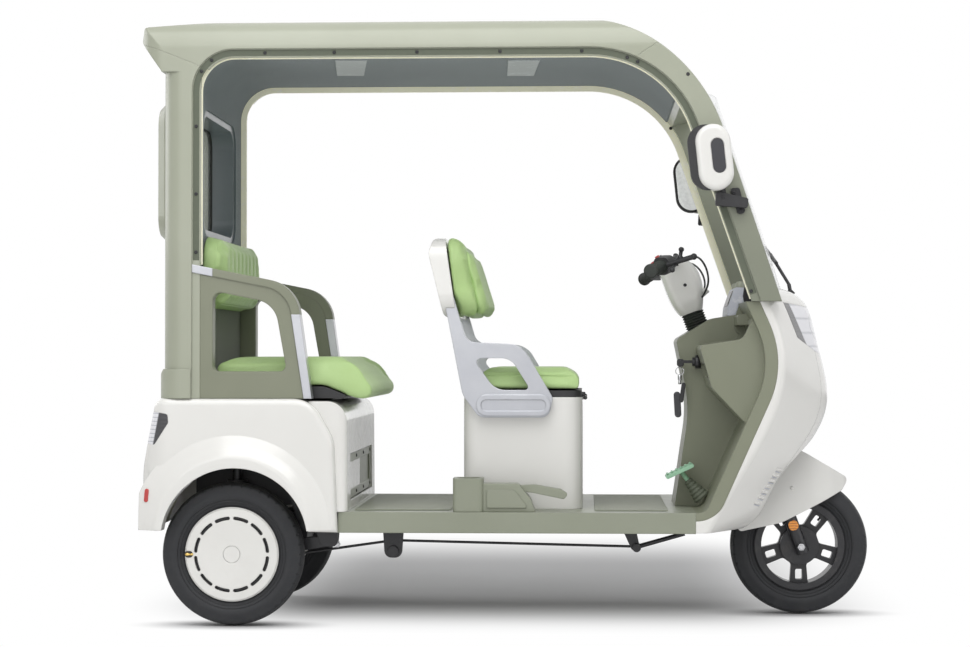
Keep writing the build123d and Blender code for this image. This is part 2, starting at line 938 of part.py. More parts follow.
@cache
def inner_shield():
    """Leg shield with its rim, the column cover, two door pockets and the dash shelf."""
    back = [(x - rim_width_x, z, max(r - rim_width_x, 0)) for x, z, r in rim_corners[:2]]
    plate = outline(rim_corners + [(deck_front_x, deck_top, 0), (578, deck_top, 30)] + back[::-1])
    shape = across(plate, -deck_half_width, deck_half_width)
    column = outline(
        [
            (499, deck_top, 0),
            (545, 650, 420),
            (504, 858, 18),
            (610, 922, 50),
            (688, 934, 0),
            (700, 968, 0),
            (795, 785, 0),
            (592, deck_top, 0),
        ],
    )
    shape += across(column, -120, 120)
    shelf = outline([(684, 930, 8), (740, 944, 0), (760, 905, 0), (765, 862, 0), (684, 880, 22)])
    shape += across(shelf, -shelf_half_width, shelf_half_width)
    pocket = outline(
        [
            (562, 838, 12),
            (690, 857, 30),
            (724, 930, 0),
            (760, 880, 0),
            (785, 785, 0),
            (755, 690, 0),
            (712, 592, 0),
            (598, 712, 30),
        ],
    )
    shape += pair(across(pocket, -deck_half_width + 32, -118))
    shape -= pair(block(578, 716, -deck_half_width + 48, -134, 742, 900))
    cavity = outline(
        [
            (514, 200, 0),
            (560, 650, 400),
            (521, 842, 10),
            (606, 896, 50),
            (676, 918, 0),
            (900, 918, 0),
            (900, 200, 0),
        ],
    )
    shape -= across(cavity, -105, 105)
    shape -= block(300, 900, -far, far, door_foot_z, 1200)
    return shape - extrude(steer_plane(600) * Circle(boot_radius + moving_clearance), amount=300)


def instrument_pod():
    pod = across(
        outline(
            [
                (662, 930, 0),
                (664, 958, 40),
                (686, 1020, 10),
                (722, 1018, 14),
                (736, 990, 20),
                (733, 930, 0),
            ],
        ),
        -120,
        120,
    )
    return pod - inner_shield()


@cache
def brake_pedal():
    pedal_y = -190
    pad = across(
        outline([(472, 430, 5), (467, 441, 5), (550, 480, 5), (555, 469, 5)]), pedal_y - 38, pedal_y + 38
    )
    return pad + rod((514, pedal_y, 456), (537, pedal_y, 425), 7)


def pedal_boot():
    """Bellows from the pedal's stalk to the foot of the leg shield."""
    top, foot = Vector(535, -190, 427), Vector(581, -190, 372)
    fold_count, small, large = 6, 13.0, 29.0
    length = (foot - top).length
    step = length / fold_count
    profile = [(0, 0, 0)]
    for i in range(fold_count):
        crest = small + (large - small) * (i + 0.5) / fold_count
        profile += [(crest - 4, step * i, 0), (crest, step * (i + 0.5), 0)]
    profile += [(large - 4, length, 0), (0, length, 0)]
    bellows = revolve(outline(profile), axis=Axis.Y)
    lay = Plane(origin=top, x_dir=(0, 1, 0), z_dir=Vector(0, 1, 0).cross(foot - top))
    return lay * bellows - inner_shield() - floor_deck() - brake_pedal()


# Driver's seat
box_rear, box_front = -147.0, 215.0
knuckle_radius = 6.0
lid_hinge = (box_front + knuckle_radius + 2, seat_top - 3)
hinge_rows = (-160.0, 160.0)


def driver_seat_box():
    half = seat_half_width
    plan = outline(
        [(box_rear, -half, 45), (box_front, -half, 60), (box_front, half, 60), (box_rear, half, 45)],
    )
    box = upward(plan, deck_top, seat_top)
    hinge_x, hinge_z = lid_hinge
    for y in hinge_rows:
        box += rod((hinge_x, y - 14, hinge_z), (hinge_x, y + 14, hinge_z), knuckle_radius)
        box += block(box_front - 4, hinge_x, y - 14, y + 14, hinge_z - knuckle_radius, hinge_z)
    inner = outline(
        [
            (box_rear + wall, -half + wall, 30),
            (box_front - wall, -half + wall, 45),
            (box_front - wall, half - wall, 45),
            (box_rear + wall, half - wall, 30),
        ]
    )
    return box - upward(inner, deck_top + wall, seat_top + 1)


def driver_seat_pan():
    """Lid of the seat box, hinged along its front edge."""
    half = seat_half_width - cushion_gap
    plan = outline([(-118, -half, 40), (212, -half, 55), (212, half, 55), (-118, half, 40)])
    pan = upward(plan, seat_top + running_gap, seat_top + 20)
    hinge_x, hinge_z = lid_hinge
    for y in hinge_rows:
        for side in (-1, 1):
            near, end = y + side * 16, y + side * 46
            pan += rod((hinge_x, near, hinge_z), (hinge_x, end, hinge_z), knuckle_radius)
            y_low, y_high = min(near, end), max(near, end)
            pan += block(box_front - 15, hinge_x, y_low, y_high, seat_top + running_gap, seat_top + 8)
    return pan


def driver_seat_cushion():
    half = seat_half_width - cushion_gap
    low = seat_top + 20 + running_gap
    side = outline([(-112, low, 14), (-112, 768, 26), (222, 768, 34), (212, low, 14)])
    return across(side, -half, half)


arm_window = [(-118, 800, 14), (-2, 800, 52), (58, 704, 10), (-48, 704, 60)]
arm_outline = [
    (-206, 990, 8),
    (-176, 990, 8),
    (-135, 849, 40),
    (30, 842, 72),
    (126, 680, 30),
    (112, 621, 30),
    (-98, 621, 34),
    (-148, 690, 60),
]


@cache
def driver_seat_arms():
    """Cast side frames: backrest strut, arm loop and the pad that bolts to the box."""
    inner = seat_half_width + running_gap
    arm = across(outline(arm_outline), -inner - arm_thickness, -inner)
    arm -= across(outline(arm_window), -far, 0)
    pod = outline([(-106, 626, 32), (118, 626, 32), (118, 690, 32), (-106, 690, 32)])
    arm += across(pod, -inner - arm_thickness - 8, -inner - arm_thickness)
    recess = outline([(-92, 641, 16), (104, 641, 16), (104, 675, 16), (-92, 675, 16)])
    arm -= across(recess, -inner - arm_thickness - 9, -inner - arm_thickness - 3)
    return pair(arm)


back_half_width = seat_half_width + 42.0


@cache
def driver_back_shell():
    side = outline([(-166, 923, 6), (-204, 923, 20), (-252, 1120, 60), (-236, 1166, 22), (-201, 1166, 0)])
    return (across(side, -far, far) & back_face(back_half_width, 923, 1166, 70)) - driver_seat_arms()


def back_face(half, low, high, radius):
    """Rounded front view of the backrest, pushed through its depth."""
    face = outline([(low, -half, radius), (high, -half, radius), (high, half, radius), (low, half, radius)])
    return extrude(Plane(origin=(-400, 0, 0), x_dir=(0, 0, 1), z_dir=(1, 0, 0)) * face, amount=400)


@cache
def driver_back_pad():
    """Thick rear layer of the backrest's padding."""
    side = outline([(-166, 918, 8), (-203, 1174, 14), (-158, 1172, 22), (-104, 940, 30), (-112, 916, 10)])
    pad = across(side, -far, far) & back_face(back_half_width - 6, 916, 1176, 78)
    return pad - driver_back_shell() - driver_seat_arms()


def driver_back_panel():
    """Channelled front layer, narrower than the layer behind it."""
    side = outline([(-130, 924, 0), (-176, 1146, 0), (-142, 1146, 34), (-78, 944, 26), (-82, 924, 14)])
    panel = across(side, -far, far) & back_face(back_half_width - 30, 924, 1146, 60)
    return panel - driver_back_pad()


cup_x, cup_radius, cup_depth = -126.0, 36.0, 84.0
cup_y = -(deck_half_width - 50.0)
cup_top = 443.0


def handbrake():
    """Cup holder, lever housing and the grip of the parking brake."""
    holder = Pos(cup_x, cup_y, (deck_top + cup_top) / 2) * extrude(
        RectangleRounded(90, 90, 14), 50, both=True
    )
    holder -= Pos(cup_x, cup_y, cup_top - cup_depth / 2) * Cylinder(cup_radius, cup_depth)
    side = outline([(-90, deck_top, 0), (-90, 427, 0), (24, 427, 14), (60, 382, 20), (74, deck_top, 0)])
    housing = across(side, cup_y - 32, cup_y + 30)
    face = outline([(-70, 355, 4), (-70, 408, 4), (12, 408, 12), (44, 368, 14), (50, 355, 4)])
    raised = across(face, cup_y - 36, cup_y - 32)
    grip = outline(
        [
            (10, 420, 0),
            (70, 424, 20),
            (150, 410, 8),
            (172, 396, 8),
            (160, 380, 8),
            (72, 398, 16),
            (30, 404, 0),
        ]
    )
    lever = across(grip, cup_y - 16, cup_y + 14)
    return holder + (housing - holder) + raised + lever


# Rear bench
arm_rest_outline = [(-948, bench_z, 0), (-948, 1080, 0), (-637, 1018, 112), (-589, bench_z, 0)]
arm_rest_window = [(-886, 1001, 24), (-700, 963, 78), (-664, 761, 18), (-886, 761, 18)]
arm_rest_inset = 24.0
arm_rest_y = (body_half_width - 53.0, body_half_width - 3.0)


def arm_rest_core():
    rise = (1080 - 1018) / (948 - 637)
    return outline(
        [
            (-948, bench_z, 0),
            (-948, 1080 - arm_rest_inset, 0),
            (-637 - arm_rest_inset, 1018 + rise * arm_rest_inset - arm_rest_inset, 92),
            (-589 - arm_rest_inset, bench_z, 0),
        ]
    )


def trim_zones():
    rear = block(-960, -886, -far, far, 900, 1200)
    post = block(-680, -500, -far, far, 600, 930)
    return rear + post


def rear_armrests():
    y_low, y_high = arm_rest_y
    cap = across(
        outline(arm_rest_outline), -y_high, -y_low
    ) - across(arm_rest_core(), -far, 0) - trim_zones()
    core = across(arm_rest_core(), -y_high + 4, -y_low + 2) - across(outline(arm_rest_window), -far, 0)
    return pair(core + cap) - rear_wall() - cab_liner() - door_lips()


def armrest_trims():
    y_low, y_high = arm_rest_y
    band = across(outline(arm_rest_outline), -y_high, -y_low) - across(arm_rest_core(), -far, 0)
    return pair(band & trim_zones()) - rear_wall() - cab_liner() - door_lips()


@cache
def rear_seat_base():
    return across(
        outline([(-900, bench_z, 0), (-900, 706, 0), (-560, 716, 60), (-470, bench_z, 6)]),
        -arm_rest_y[0] + 14,
        arm_rest_y[0] - 14,
    )


def rear_seat_cushion():
    side = outline(
        [
            (-905, 706.3, 0),
            (-905, 795, 22),
            (-452, 795, 62),
            (-398, 690, 26),
            (-430, 668, 10),
            (-470, 676, 0),
            (-560, 716.6, 40),
        ],
    )
    return across(side, -arm_rest_y[0] + 8, arm_rest_y[0] - 8) - rear_seat_base()


def rear_backrest():
    x_wall = door_rear_x - liner_recess + liner_thickness + running_gap
    half = body_half_width - 83
    face = outline([(-half, 945, 70), (half, 945, 70), (half, 1180, 90), (-half, 1180, 90)])
    return lengthwise(face, x_wall, x_wall + 70)


# Mirrors, one on each windscreen pillar
mirror_share = 0.4  # how far up the pillar the bracket sits
mirror_x = door_foot_x - (door_foot_x - door_bend_x) * mirror_share
mirror_z = door_foot_z + (door_top - door_foot_z) * mirror_share
mirror_tilt = 6.0


def mirror_outline(shift, length, width):
    return Pos(
        mirror_x - 13 + shift, mirror_z + 127
    ) * Rot(0, 0, mirror_tilt) * SlotOverall(length, width, rotation=90)


@cache
def mirror_brackets():
    """Clamp on the pillar, the arm and the dark frame that holds the glass."""
    out = body_half_width
    at = Pos(mirror_x, mirror_z)
    foot = across(at * outline([(35, 40, 8), (59, -38, 9), (81, -32, 9), (63, 42, 8)]), -out - 14, -out + 7)
    arm = across(at * outline([(-9, -12, 6), (-7, 30, 6), (87, 8, 6), (85, -20, 6)]), -out - 44, -out - 14)
    post = rod((mirror_x + 15, -out - 30, mirror_z + 22), (mirror_x + 5, -out - 52, mirror_z + 60), 9)
    frame = across(mirror_outline(-22, 192, 104), -out - 66, -out - 40)
    return pair(foot + arm + post + frame - front_frame())


def mirrors():
    """Domed shell over each frame, with a sunk oval in its outer face."""
    out = body_half_width
    head = across(mirror_outline(0, 196, 104), -out - 78, -out - 46)
    head = fillet(head.faces().sort_by(Axis.Y)[0].edges(), 16)
    oval = Pos(11, 4) * mirror_outline(0, 104, 40)
    head -= across(oval, -out - 80, -out - 74)
    return pair(head - mirror_brackets())


# Steered assembly
@cache
def fork():
    """Two legs, the yoke over the tyre, the stem, the axle and the brake's back plate."""
    legs = Part()
    for side in (-1, 1):
        y = side * fork_leg_y
        legs += rod(steer_point(fork_offset, -22, y), steer_point(fork_offset, 165, y), fork_leg_radius + 5)
        legs += rod(
            steer_point(fork_offset, 160, y), steer_point(fork_offset, yoke_height + 26, y), fork_leg_radius
        )
        legs += rod(front_axle + Vector(0, y - side * 12, 0), front_axle + Vector(0, y + side * 30, 0), 14)
    half = fork_leg_y + 24
    yoke = outline(
        [(-32, -34, 20), (fork_offset + 22, -half, 20), (fork_offset + 22, half, 20), (-32, 34, 20)],
    )
    legs += extrude(steer_plane(yoke_height - 16) * yoke, amount=32)
    legs += extrude(steer_plane(yoke_height) * Circle(stem_radius), amount=700)
    legs += rod(
        front_axle - Vector(0, fork_leg_y, 0), front_axle + Vector(0, fork_leg_y, 0), front_axle_radius
    )
    plate_y = -22 - moving_clearance
    legs += rod(front_axle + Vector(0, plate_y, 0), front_axle + Vector(0, plate_y - 14, 0), 60)
    stay = outline(
        [
            (fork_offset - 8, 30, 6),
            (fork_offset + 30, 52, 6),
            (fork_offset + 10, 62, 6),
            (fork_offset - 14, 60, 6),
        ],
    )
    legs += across(reflector_mount(stay), plate_y - 14, plate_y - 6)
    return legs


def reflector_mount(face):
    """Turns a face drawn in fork coordinates (forward, up) into side-view coordinates."""
    return Pos(steer_foot.X, steer_foot.Z) * Rot(0, 0, rake_deg) * face


def fork_reflectors():
    face = reflector_mount(
        outline(
            [
                (fork_offset - 15, 56, 12),
                (fork_offset + 15, 56, 12),
                (fork_offset + 15, 86, 12),
                (fork_offset - 15, 86, 12),
            ],
        ),
    )
    y = fork_leg_y + fork_leg_radius + 5
    return pair(across(face, -y - 8, -y + 2)) - fork()


fender_half_width = 100.0


def front_fender():
    """Beaked mudguard over the wheel, with skirts down both sides."""
    outer = outline(
        [
            (700, 262, 12),
            (672, 330, 60),
            (742, 500, 90),
            (868, 528, 120),
            (1046, 424, 16),
            (1022, 388, 6),
            (830, 290, 120),
        ],
    )
    inner = outline(
        [
            (600, 150, 0),
            (690, 340, 60),
            (752, 486, 80),
            (866, 510, 110),
            (1032, 414, 10),
            (1100, 380, 0),
            (1000, 150, 0),
        ],
    )
    plan = outline(
        [
            (640, -fender_half_width, 50),
            (960, -fender_half_width, 120),
            (1075, 0, 60),
            (960, fender_half_width, 120),
            (640, fender_half_width, 50),
        ],
    )
    shape = across(outer, -fender_half_width, fender_half_width) & upward(plan, 0, 900)
    hollow_plan = outline(
        [
            (600, -fender_half_width + 5, 0),
            (956, -fender_half_width + 5, 114),
            (1060, 0, 50),
            (956, fender_half_width - 5, 114),
            (600, fender_half_width - 5, 0),
        ],
    )
    shape -= across(inner, -fender_half_width, fender_half_width) & upward(hollow_plan, 0, 900)
    return shape - fork()


@cache
def handlebar():
    end = handlebar_half_width
    points = [
        (420, -end, 1062),
        (466, -200, 1086),
        (508, -70, 1112),
        (508, 70, 1112),
        (466, 200, 1086),
        (420, end, 1062),
    ]
    bar = tube(points, handlebar_radius, 45)
    bend, tip = Vector(*points[1]), Vector(*points[0])
    inward = (bend - tip).normalized()
    grip = rod(tip - inward * 4, tip + inward * 112, 17)
    pod_plane = Plane(origin=tip + inward * 114, x_dir=(0, 0, 1), z_dir=inward)
    pod = extrude(pod_plane * RectangleRounded(54, 46, 14), amount=66)
    lever_root = tip + inward * 150 + Vector(34, 0, 4)
    lever = rod(tip + inward * 150, lever_root + Vector(8, 0, 2), 9)
    lever_tip = lever_root - inward * 128 + Vector(24, 0, -4)
    lever += rod(lever_root, lever_tip, 5.5) + Pos(lever_tip.X, lever_tip.Y, lever_tip.Z) * Sphere(8)
    perch = bend + Vector(86, -70, 22)
    lever += rod(bend - inward * 40, perch, 8) + Pos(perch.X, perch.Y, perch.Z) * Sphere(10)
    bar += pair(grip + pod + lever)
    return bar


boot_top = 798.0
boot_radius = 37.0


def handlebar_housing():
    """Tapered cover from the boot to the bar."""
    sections = [
        (boot_top, -2, 72, 78),
        (boot_top + 34, -1, 98, 102),
        (boot_top + 74, 2, 114, 114),
        (boot_top + 166, -10, 92, 124),
    ]
    faces = []
    for up, shift, length, width in sections:
        faces.append(steer_plane(up) * Pos(shift, 0) * RectangleRounded(length, width, 26))
    cover = loft(faces)
    hook = rod(steer_point(44, boot_top + 42), steer_point(70, boot_top + 52), 10)
    return cover + hook - handlebar() - fork()


def steering_boot():
    """Rubber bellows between the dash and the bar's cover."""
    fold_count, fold, radius = 8, 8.0, boot_radius
    low = boot_top - fold_count * fold - running_gap
    profile = [(stem_radius + running_gap, 0, 0)]
    for i in range(fold_count):
        profile += [(radius - 5, fold * i, 0), (radius, fold * (i + 0.5), 0)]
    profile += [(radius - 5, fold * fold_count, 0), (stem_radius + running_gap, fold * fold_count, 0)]
    bellows = revolve(outline(profile), axis=Axis.Y)
    lay = Plane(origin=steer_point(0, low), x_dir=(0, 1, 0), z_dir=steer_forward)
    return lay * bellows


def place_wheel(part, x, y):
    return Pos(x, y, axle_z) * part


def main():
    half_track = rear_track / 2
    rubber, pressed, cast = tyre(), rear_wheel(), front_wheel()
    left_wheel = place_wheel(pressed, rear_axle_x, half_track)
    left_tyre = place_wheel(rubber, rear_axle_x, half_track)
    nodes = {
        "chassis_frame": chassis_frame(),
        "rear_axle": rear_axle(),
        "rear_suspension": rear_suspension(),
        "brake_linkage": brake_linkage(),
        "rear_body": rear_body(),
        "battery_cover": battery_cover(),
        "battery_block": battery_block(),
        "rear_lamps": rear_lamps(),
        "wheel_arch_liners": wheel_arch_liners(),
        "floor_deck": floor_deck(),
        "rear_wall": rear_wall(),
        "rear_window": rear_window(),
        "roof_shell": roof_shell(),
        "front_frame": front_frame(),
        "cab_liner": cab_liner(),
        "door_lips": door_lips(),
        "windscreen": windscreen(),
        "wiper": wiper(),
        "shield_panels": shield_panels(),
        "front_panel": front_panel(),
        "nose_cap": nose_cap(),
        "headlights": headlights(),
        "inner_shield": inner_shield(),
        "instrument_pod": instrument_pod(),
        "brake_pedal": brake_pedal(),
        "pedal_boot": pedal_boot(),
        "driver_seat_box": driver_seat_box(),
        "driver_seat_pan": driver_seat_pan(),
        "driver_seat_cushion": driver_seat_cushion(),
        "driver_seat_arms": driver_seat_arms(),
        "driver_back_shell": driver_back_shell(),
        "driver_back_pad": driver_back_pad(),
        "driver_back_panel": driver_back_panel(),
        "handbrake": handbrake(),
        "rear_armrests": rear_armrests(),
        "armrest_trims": armrest_trims(),
        "rear_seat_base": rear_seat_base(),
        "rear_seat_cushion": rear_seat_cushion(),
        "rear_backrest": rear_backrest(),
        "mirror_brackets": mirror_brackets(),
        "mirrors": mirrors(),
        "rear_tyre_left": left_tyre,
        "rear_wheel_left": left_wheel,
        "rear_tyre_right": mirror(left_tyre, about=Plane.XZ),
        "rear_wheel_right": mirror(left_wheel, about=Plane.XZ),
        "front_tyre": place_wheel(rubber, front_axle_x, 0),
        "front_wheel": place_wheel(cast, front_axle_x, 0),
        "fork": fork(),
        "fork_reflectors": fork_reflectors(),
        "front_fender": front_fender(),
        "handlebar": handlebar(),
        "handlebar_housing": handlebar_housing(),
        "steering_boot": steering_boot(),
    }
    os.makedirs("parts", exist_ok=True)
    for name, part in nodes.items():
        export_step(part, f"parts/{name}.step")
        print(name, "solids", len(part.solids()), "volume", round(part.volume))


if __name__ == "__main__":
    main()
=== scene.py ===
import json
import math

import bmesh
import bpy
from mathutils import Euler, Matrix, Vector

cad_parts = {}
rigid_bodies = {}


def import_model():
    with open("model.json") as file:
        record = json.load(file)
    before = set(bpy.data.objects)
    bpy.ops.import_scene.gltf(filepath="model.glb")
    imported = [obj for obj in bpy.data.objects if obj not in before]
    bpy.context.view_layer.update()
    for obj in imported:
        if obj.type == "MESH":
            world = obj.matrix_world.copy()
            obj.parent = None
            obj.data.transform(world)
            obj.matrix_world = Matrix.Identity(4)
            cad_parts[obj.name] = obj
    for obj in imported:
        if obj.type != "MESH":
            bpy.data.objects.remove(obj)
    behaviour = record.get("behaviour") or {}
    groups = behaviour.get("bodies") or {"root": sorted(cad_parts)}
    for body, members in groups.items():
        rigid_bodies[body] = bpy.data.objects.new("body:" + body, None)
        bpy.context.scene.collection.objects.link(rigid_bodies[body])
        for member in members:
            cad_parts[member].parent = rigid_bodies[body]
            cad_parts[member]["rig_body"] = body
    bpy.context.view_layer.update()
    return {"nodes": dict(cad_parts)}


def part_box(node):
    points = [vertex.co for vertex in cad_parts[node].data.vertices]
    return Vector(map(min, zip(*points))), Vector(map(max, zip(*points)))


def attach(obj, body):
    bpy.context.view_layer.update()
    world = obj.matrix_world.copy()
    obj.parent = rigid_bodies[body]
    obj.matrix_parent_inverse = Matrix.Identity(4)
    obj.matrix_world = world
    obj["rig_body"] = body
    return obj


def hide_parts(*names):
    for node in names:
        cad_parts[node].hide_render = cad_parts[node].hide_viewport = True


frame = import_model()
nodes = frame["nodes"]
print("frame loaded,", len(nodes), "nodes")


class Wire:  # a node's output, with maths
    def __init__(self, finish, socket):
        self.finish = finish
        self.socket = socket

    def calc(self, operation, first, second=None):
        return self.finish.node("ShaderNodeMath", {"operation": operation}, {0: first, 1: second})

    def __add__(self, other):
        return self.calc("ADD", self, other)

    def __radd__(self, other):
        return self.calc("ADD", other, self)

    def __sub__(self, other):
        return self.calc("SUBTRACT", self, other)

    def __rsub__(self, other):
        return self.calc("SUBTRACT", other, self)

    def __mul__(self, other):
        return self.calc("MULTIPLY", self, other)

    def __truediv__(self, other):
        return self.calc("DIVIDE", self, other)

    def __pow__(self, other):
        return self.calc("POWER", self, other)

    def __gt__(self, other):
        return self.calc("GREATER_THAN", self, other)

    def __lt__(self, other):
        return self.calc("LESS_THAN", self, other)


class Finish:  # one material under construction
    def __init__(self, name, **constants):
        self.material = bpy.data.materials.new(name)
        self.material.use_nodes = True
        self.tree = self.material.node_tree
        self.shader = self.tree.nodes["Principled BSDF"]
        for key, value in constants.items():
            self.shader.inputs[key.replace("_", " ")].default_value = value

    def node(self, kind, settings=None, values=None, out=0):
        made = self.tree.nodes.new(kind)
        for key, value in (settings or {}).items():
            setattr(made, key, value)
        for key, value in (values or {}).items():
            if value is None:
                continue
            if isinstance(value, Wire):
                self.tree.links.new(value.socket, made.inputs[key])
            else:
                made.inputs[key].default_value = value
        return Wire(self, made.outputs[out])

    def place(self):
        return self.node("ShaderNodeTexCoord", out="Object")

    def axes(self):
        split = self.node("ShaderNodeSeparateXYZ", values={0: self.place()}).socket.node
        return [Wire(self, split.outputs[i]) for i in range(3)]

    def noise(self, scale, detail=3.0, rough=0.55):
        values = {"Vector": self.place(), "Scale": scale, "Detail": detail, "Roughness": rough}
        return self.node("ShaderNodeTexNoise", values=values)

    def cells(self, scale, feature="DISTANCE_TO_EDGE"):
        values = {"Vector": self.place(), "Scale": scale}
        return self.node("ShaderNodeTexVoronoi", {"feature": feature}, values)

    def ramp(self, value, low, high):
        values = {0: value, 1: low, 2: high}
        return self.node("ShaderNodeMapRange", {"interpolation_type": "SMOOTHSTEP"}, values)

    def fold(self, value, half):
        return self.node("ShaderNodeMath", {"operation": "PINGPONG"}, {0: value, 1: half})

    def magnitude(self, value):
        return self.node("ShaderNodeMath", {"operation": "ABSOLUTE"}, {0: value})

    def blend(self, factor, first, second):
        first, second = [v if isinstance(v, Wire) else (*v, 1) for v in (first, second)]
        return self.node("ShaderNodeMix", {"data_type": "RGBA"}, {0: factor, 6: first, 7: second}, out=2)

    def bump(self, height, distance, edge=0.0):
        rounded = self.node("ShaderNodeBevel", {"samples": 4}, {"Radius": edge}) if edge else None
        return self.node("ShaderNodeBump", values={"Height": height, "Distance": distance, "Normal": rounded})

    def feed(self, links):
        for key, wire in links.items():
            self.tree.links.new(wire.socket, self.shader.inputs[key])
        return self.material


def mouldedPanel(name, colour, shade, roughness, coat, edge, zone=None):
    # satin or gloss moulding: faint orange peel, uneven sheen, a little dust low down
    make = Finish(name, Coat_Roughness=0.12, Coat_Weight=coat)
    x, y, z = make.axes()
    cloud = make.noise(2.2, 4)
    grime = make.ramp(z, 0.5, 0.22) * make.ramp(make.noise(9, 5, 0.7), 0.42, 0.75)
    tint = make.blend(make.ramp(cloud, 0.3, 0.7), colour, shade)
    if zone:
        tint = zone(make, x, y, z, tint)
    peel = make.noise(420, 2)
    sheen = make.noise(14, 4, 0.6)
    return make.feed(
        {
            "Base Color": make.blend(grime * 0.05, tint, (0.2, 0.18, 0.14)),
            "Roughness": roughness + (sheen - 0.5) * 0.14 + grime * 0.08,
            "Normal": make.bump(peel, 0.00022, edge),
        }
    )


def grainedPlastic(name, colour, roughness, grain, depth, edge=0.0015, glow=0.0):
    # glow gives the plastic emission: painted light
    make = Finish(name, Emission_Color=(*colour, 1), Emission_Strength=glow)
    skin = make.cells(1 / grain, "SMOOTH_F1")
    scuff = make.ramp(make.noise(26, 6, 0.7), 0.52, 0.72)
    pale = tuple(min(1, c * 1.8 + 0.012) for c in colour)
    return make.feed(
        {
            "Base Color": make.blend(scuff * 0.5, colour, pale),
            "Roughness": roughness + scuff * 0.14 + (make.noise(40, 3) - 0.5) * 0.1,
            "Normal": make.bump(skin, depth, edge),
        }
    )


silverTones = (0.44, 0.45, 0.485), (0.50, 0.51, 0.54)


def silverPaint(name):
    make = Finish(name, Coat_Weight=0.4, Coat_Roughness=0.1)
    flake = make.cells(1900, "F1")
    cloud = make.noise(6, 4)
    return make.feed(
        {
            "Base Color": make.blend(make.ramp(cloud, 0.3, 0.7), *silverTones),
            "Metallic": 0.55 + make.ramp(flake, 0.2, 0.6) * 0.2,
            "Roughness": 0.34 + (make.noise(60, 3) - 0.5) * 0.14,
            "Normal": make.bump(make.noise(300, 2), 0.0002, 0.004),
        }
    )


def blackPaint(name):
    make = Finish(name, Metallic=0.2, Coat_Weight=0.15)
    dust = make.ramp(make.noise(16, 6, 0.7), 0.5, 0.75)
    return make.feed(
        {
            "Base Color": make.blend(dust * 0.5, (0.022, 0.022, 0.025), (0.085, 0.08, 0.075)),
            "Roughness": 0.36 + dust * 0.25,
            "Normal": make.bump(make.noise(500, 2), 0.00025, 0.003),
        }
    )


def liningCloth(name, colour, shade, lower, lowerTop):
    # brushed backing cloth on the moulding, bare moulding behind the bench
    make = Finish(name, Roughness=0.9, Sheen_Weight=0.25)
    z = make.axes()[2]
    wave = make.noise(3.2, 3)
    fuzz = make.noise(900, 3, 0.7)
    mottled = make.blend(make.ramp(wave, 0.3, 0.7), colour, shade)
    mottled = make.blend(make.ramp(z, lowerTop, lowerTop + 0.004), lower, mottled)
    pale = tuple(c * 1.5 for c in colour)
    return make.feed(
        {
            "Base Color": make.blend(make.ramp(fuzz, 0.35, 0.75) * 0.4, mottled, pale),
            "Normal": make.bump(fuzz * 0.6 + wave * 3, 0.0016),
        }
    )


def seatLeather(name):
    # coated cloth: pebbled grain, darker between the pebbles, soft sheen
    make = Finish(name, Coat_Weight=0.06, Coat_Roughness=0.3)
    pebble = make.ramp(make.cells(520), 0.0, 0.12)
    cloud = make.noise(5, 4)
    pores = make.noise(1300, 2)
    tint = make.blend(make.ramp(cloud, 0.3, 0.7), (0.47, 0.66, 0.27), (0.52, 0.71, 0.32))
    return make.feed(
        {
            "Base Color": make.blend((1 - pebble) * 0.35, tint, (0.30, 0.47, 0.16)),
            "Roughness": 0.52 - pebble * 0.1 + (make.noise(22, 4) - 0.5) * 0.16,
            "Normal": make.bump(pebble * 0.8 + pores * 0.3, 0.0004),
        }
    )


def tyreRubber(name, centre, grooves):
    # tread and sidewall marks follow the tyre round its own axle
    make = Finish(name)
    x, y, z = make.axes()
    dx, dy, dz = x - centre[0], y - centre[1], z - centre[2]
    radius = (dx * dx + dz * dz) ** 0.5
    angle = make.node("ShaderNodeMath", {"operation": "ARCTAN2"}, {0: dz, 1: dx})
    offset = make.magnitude(dy)
    tread = make.ramp(radius, grooves["treadFrom"], grooves["treadFrom"] + 0.004)
    zigzag = make.fold(angle * grooves["blocks"] / math.tau, 0.5)
    rib = make.fold(offset + zigzag * grooves["sway"], grooves["ribPitch"])
    gap = make.ramp(rib, grooves["cutWidth"], grooves["cutWidth"] + 0.0015)
    sipe = make.ramp(zigzag, 0.06, 0.1)
    block = gap * (1 - (1 - sipe) * (offset > grooves["sipeFrom"]))
    ring = make.fold(radius, grooves["wallRing"])
    low, high = grooves["wallEnd"]
    wallRings = make.ramp(ring, 0.0006, 0.0016) * make.ramp(radius, high, low) + make.ramp(radius, low, high)
    height = tread * block + (1 - tread) * wallRings
    dust = make.ramp(make.noise(30, 6, 0.7), 0.4, 0.75)
    worn = make.blend(dust * 0.6, (0.014, 0.015, 0.018), (0.042, 0.042, 0.044))
    return make.feed(
        {
            "Base Color": make.blend((1 - height) * 0.45, worn, (0.012, 0.012, 0.013)),
            "Roughness": 0.62 + dust * 0.2,
            "Normal": make.bump(height + make.noise(700, 2) * 0.06, 0.0024),
        }
    )


def clearPane(name, tint, alpha):
    make = Finish(name, Roughness=0.03, IOR=1.45, Coat_Weight=0.3)
    smear = make.noise(4, 5, 0.6)
    return make.feed(
        {
            "Base Color": make.blend(smear, tint, tuple(c * 0.97 for c in tint)),
            "Alpha": alpha + make.ramp(smear, 0.45, 0.75) * 0.012,
        }
    )


def lensPlastic(name, colour, deep, flute):
    # fluted lens over a bright bowl
    make = Finish(name, Roughness=0.08, Coat_Weight=0.8, Coat_Roughness=0.03)
    y, z = make.axes()[1:]
    line = make.fold(y, flute)
    grid = make.fold(z, flute)
    facet = make.ramp(line / flute, 0.0, 0.5) * make.ramp(grid / flute, 0.0, 0.5)
    return make.feed({"Base Color": make.blend(facet, deep, colour), "Normal": make.bump(facet, 0.0012, 0.003)})


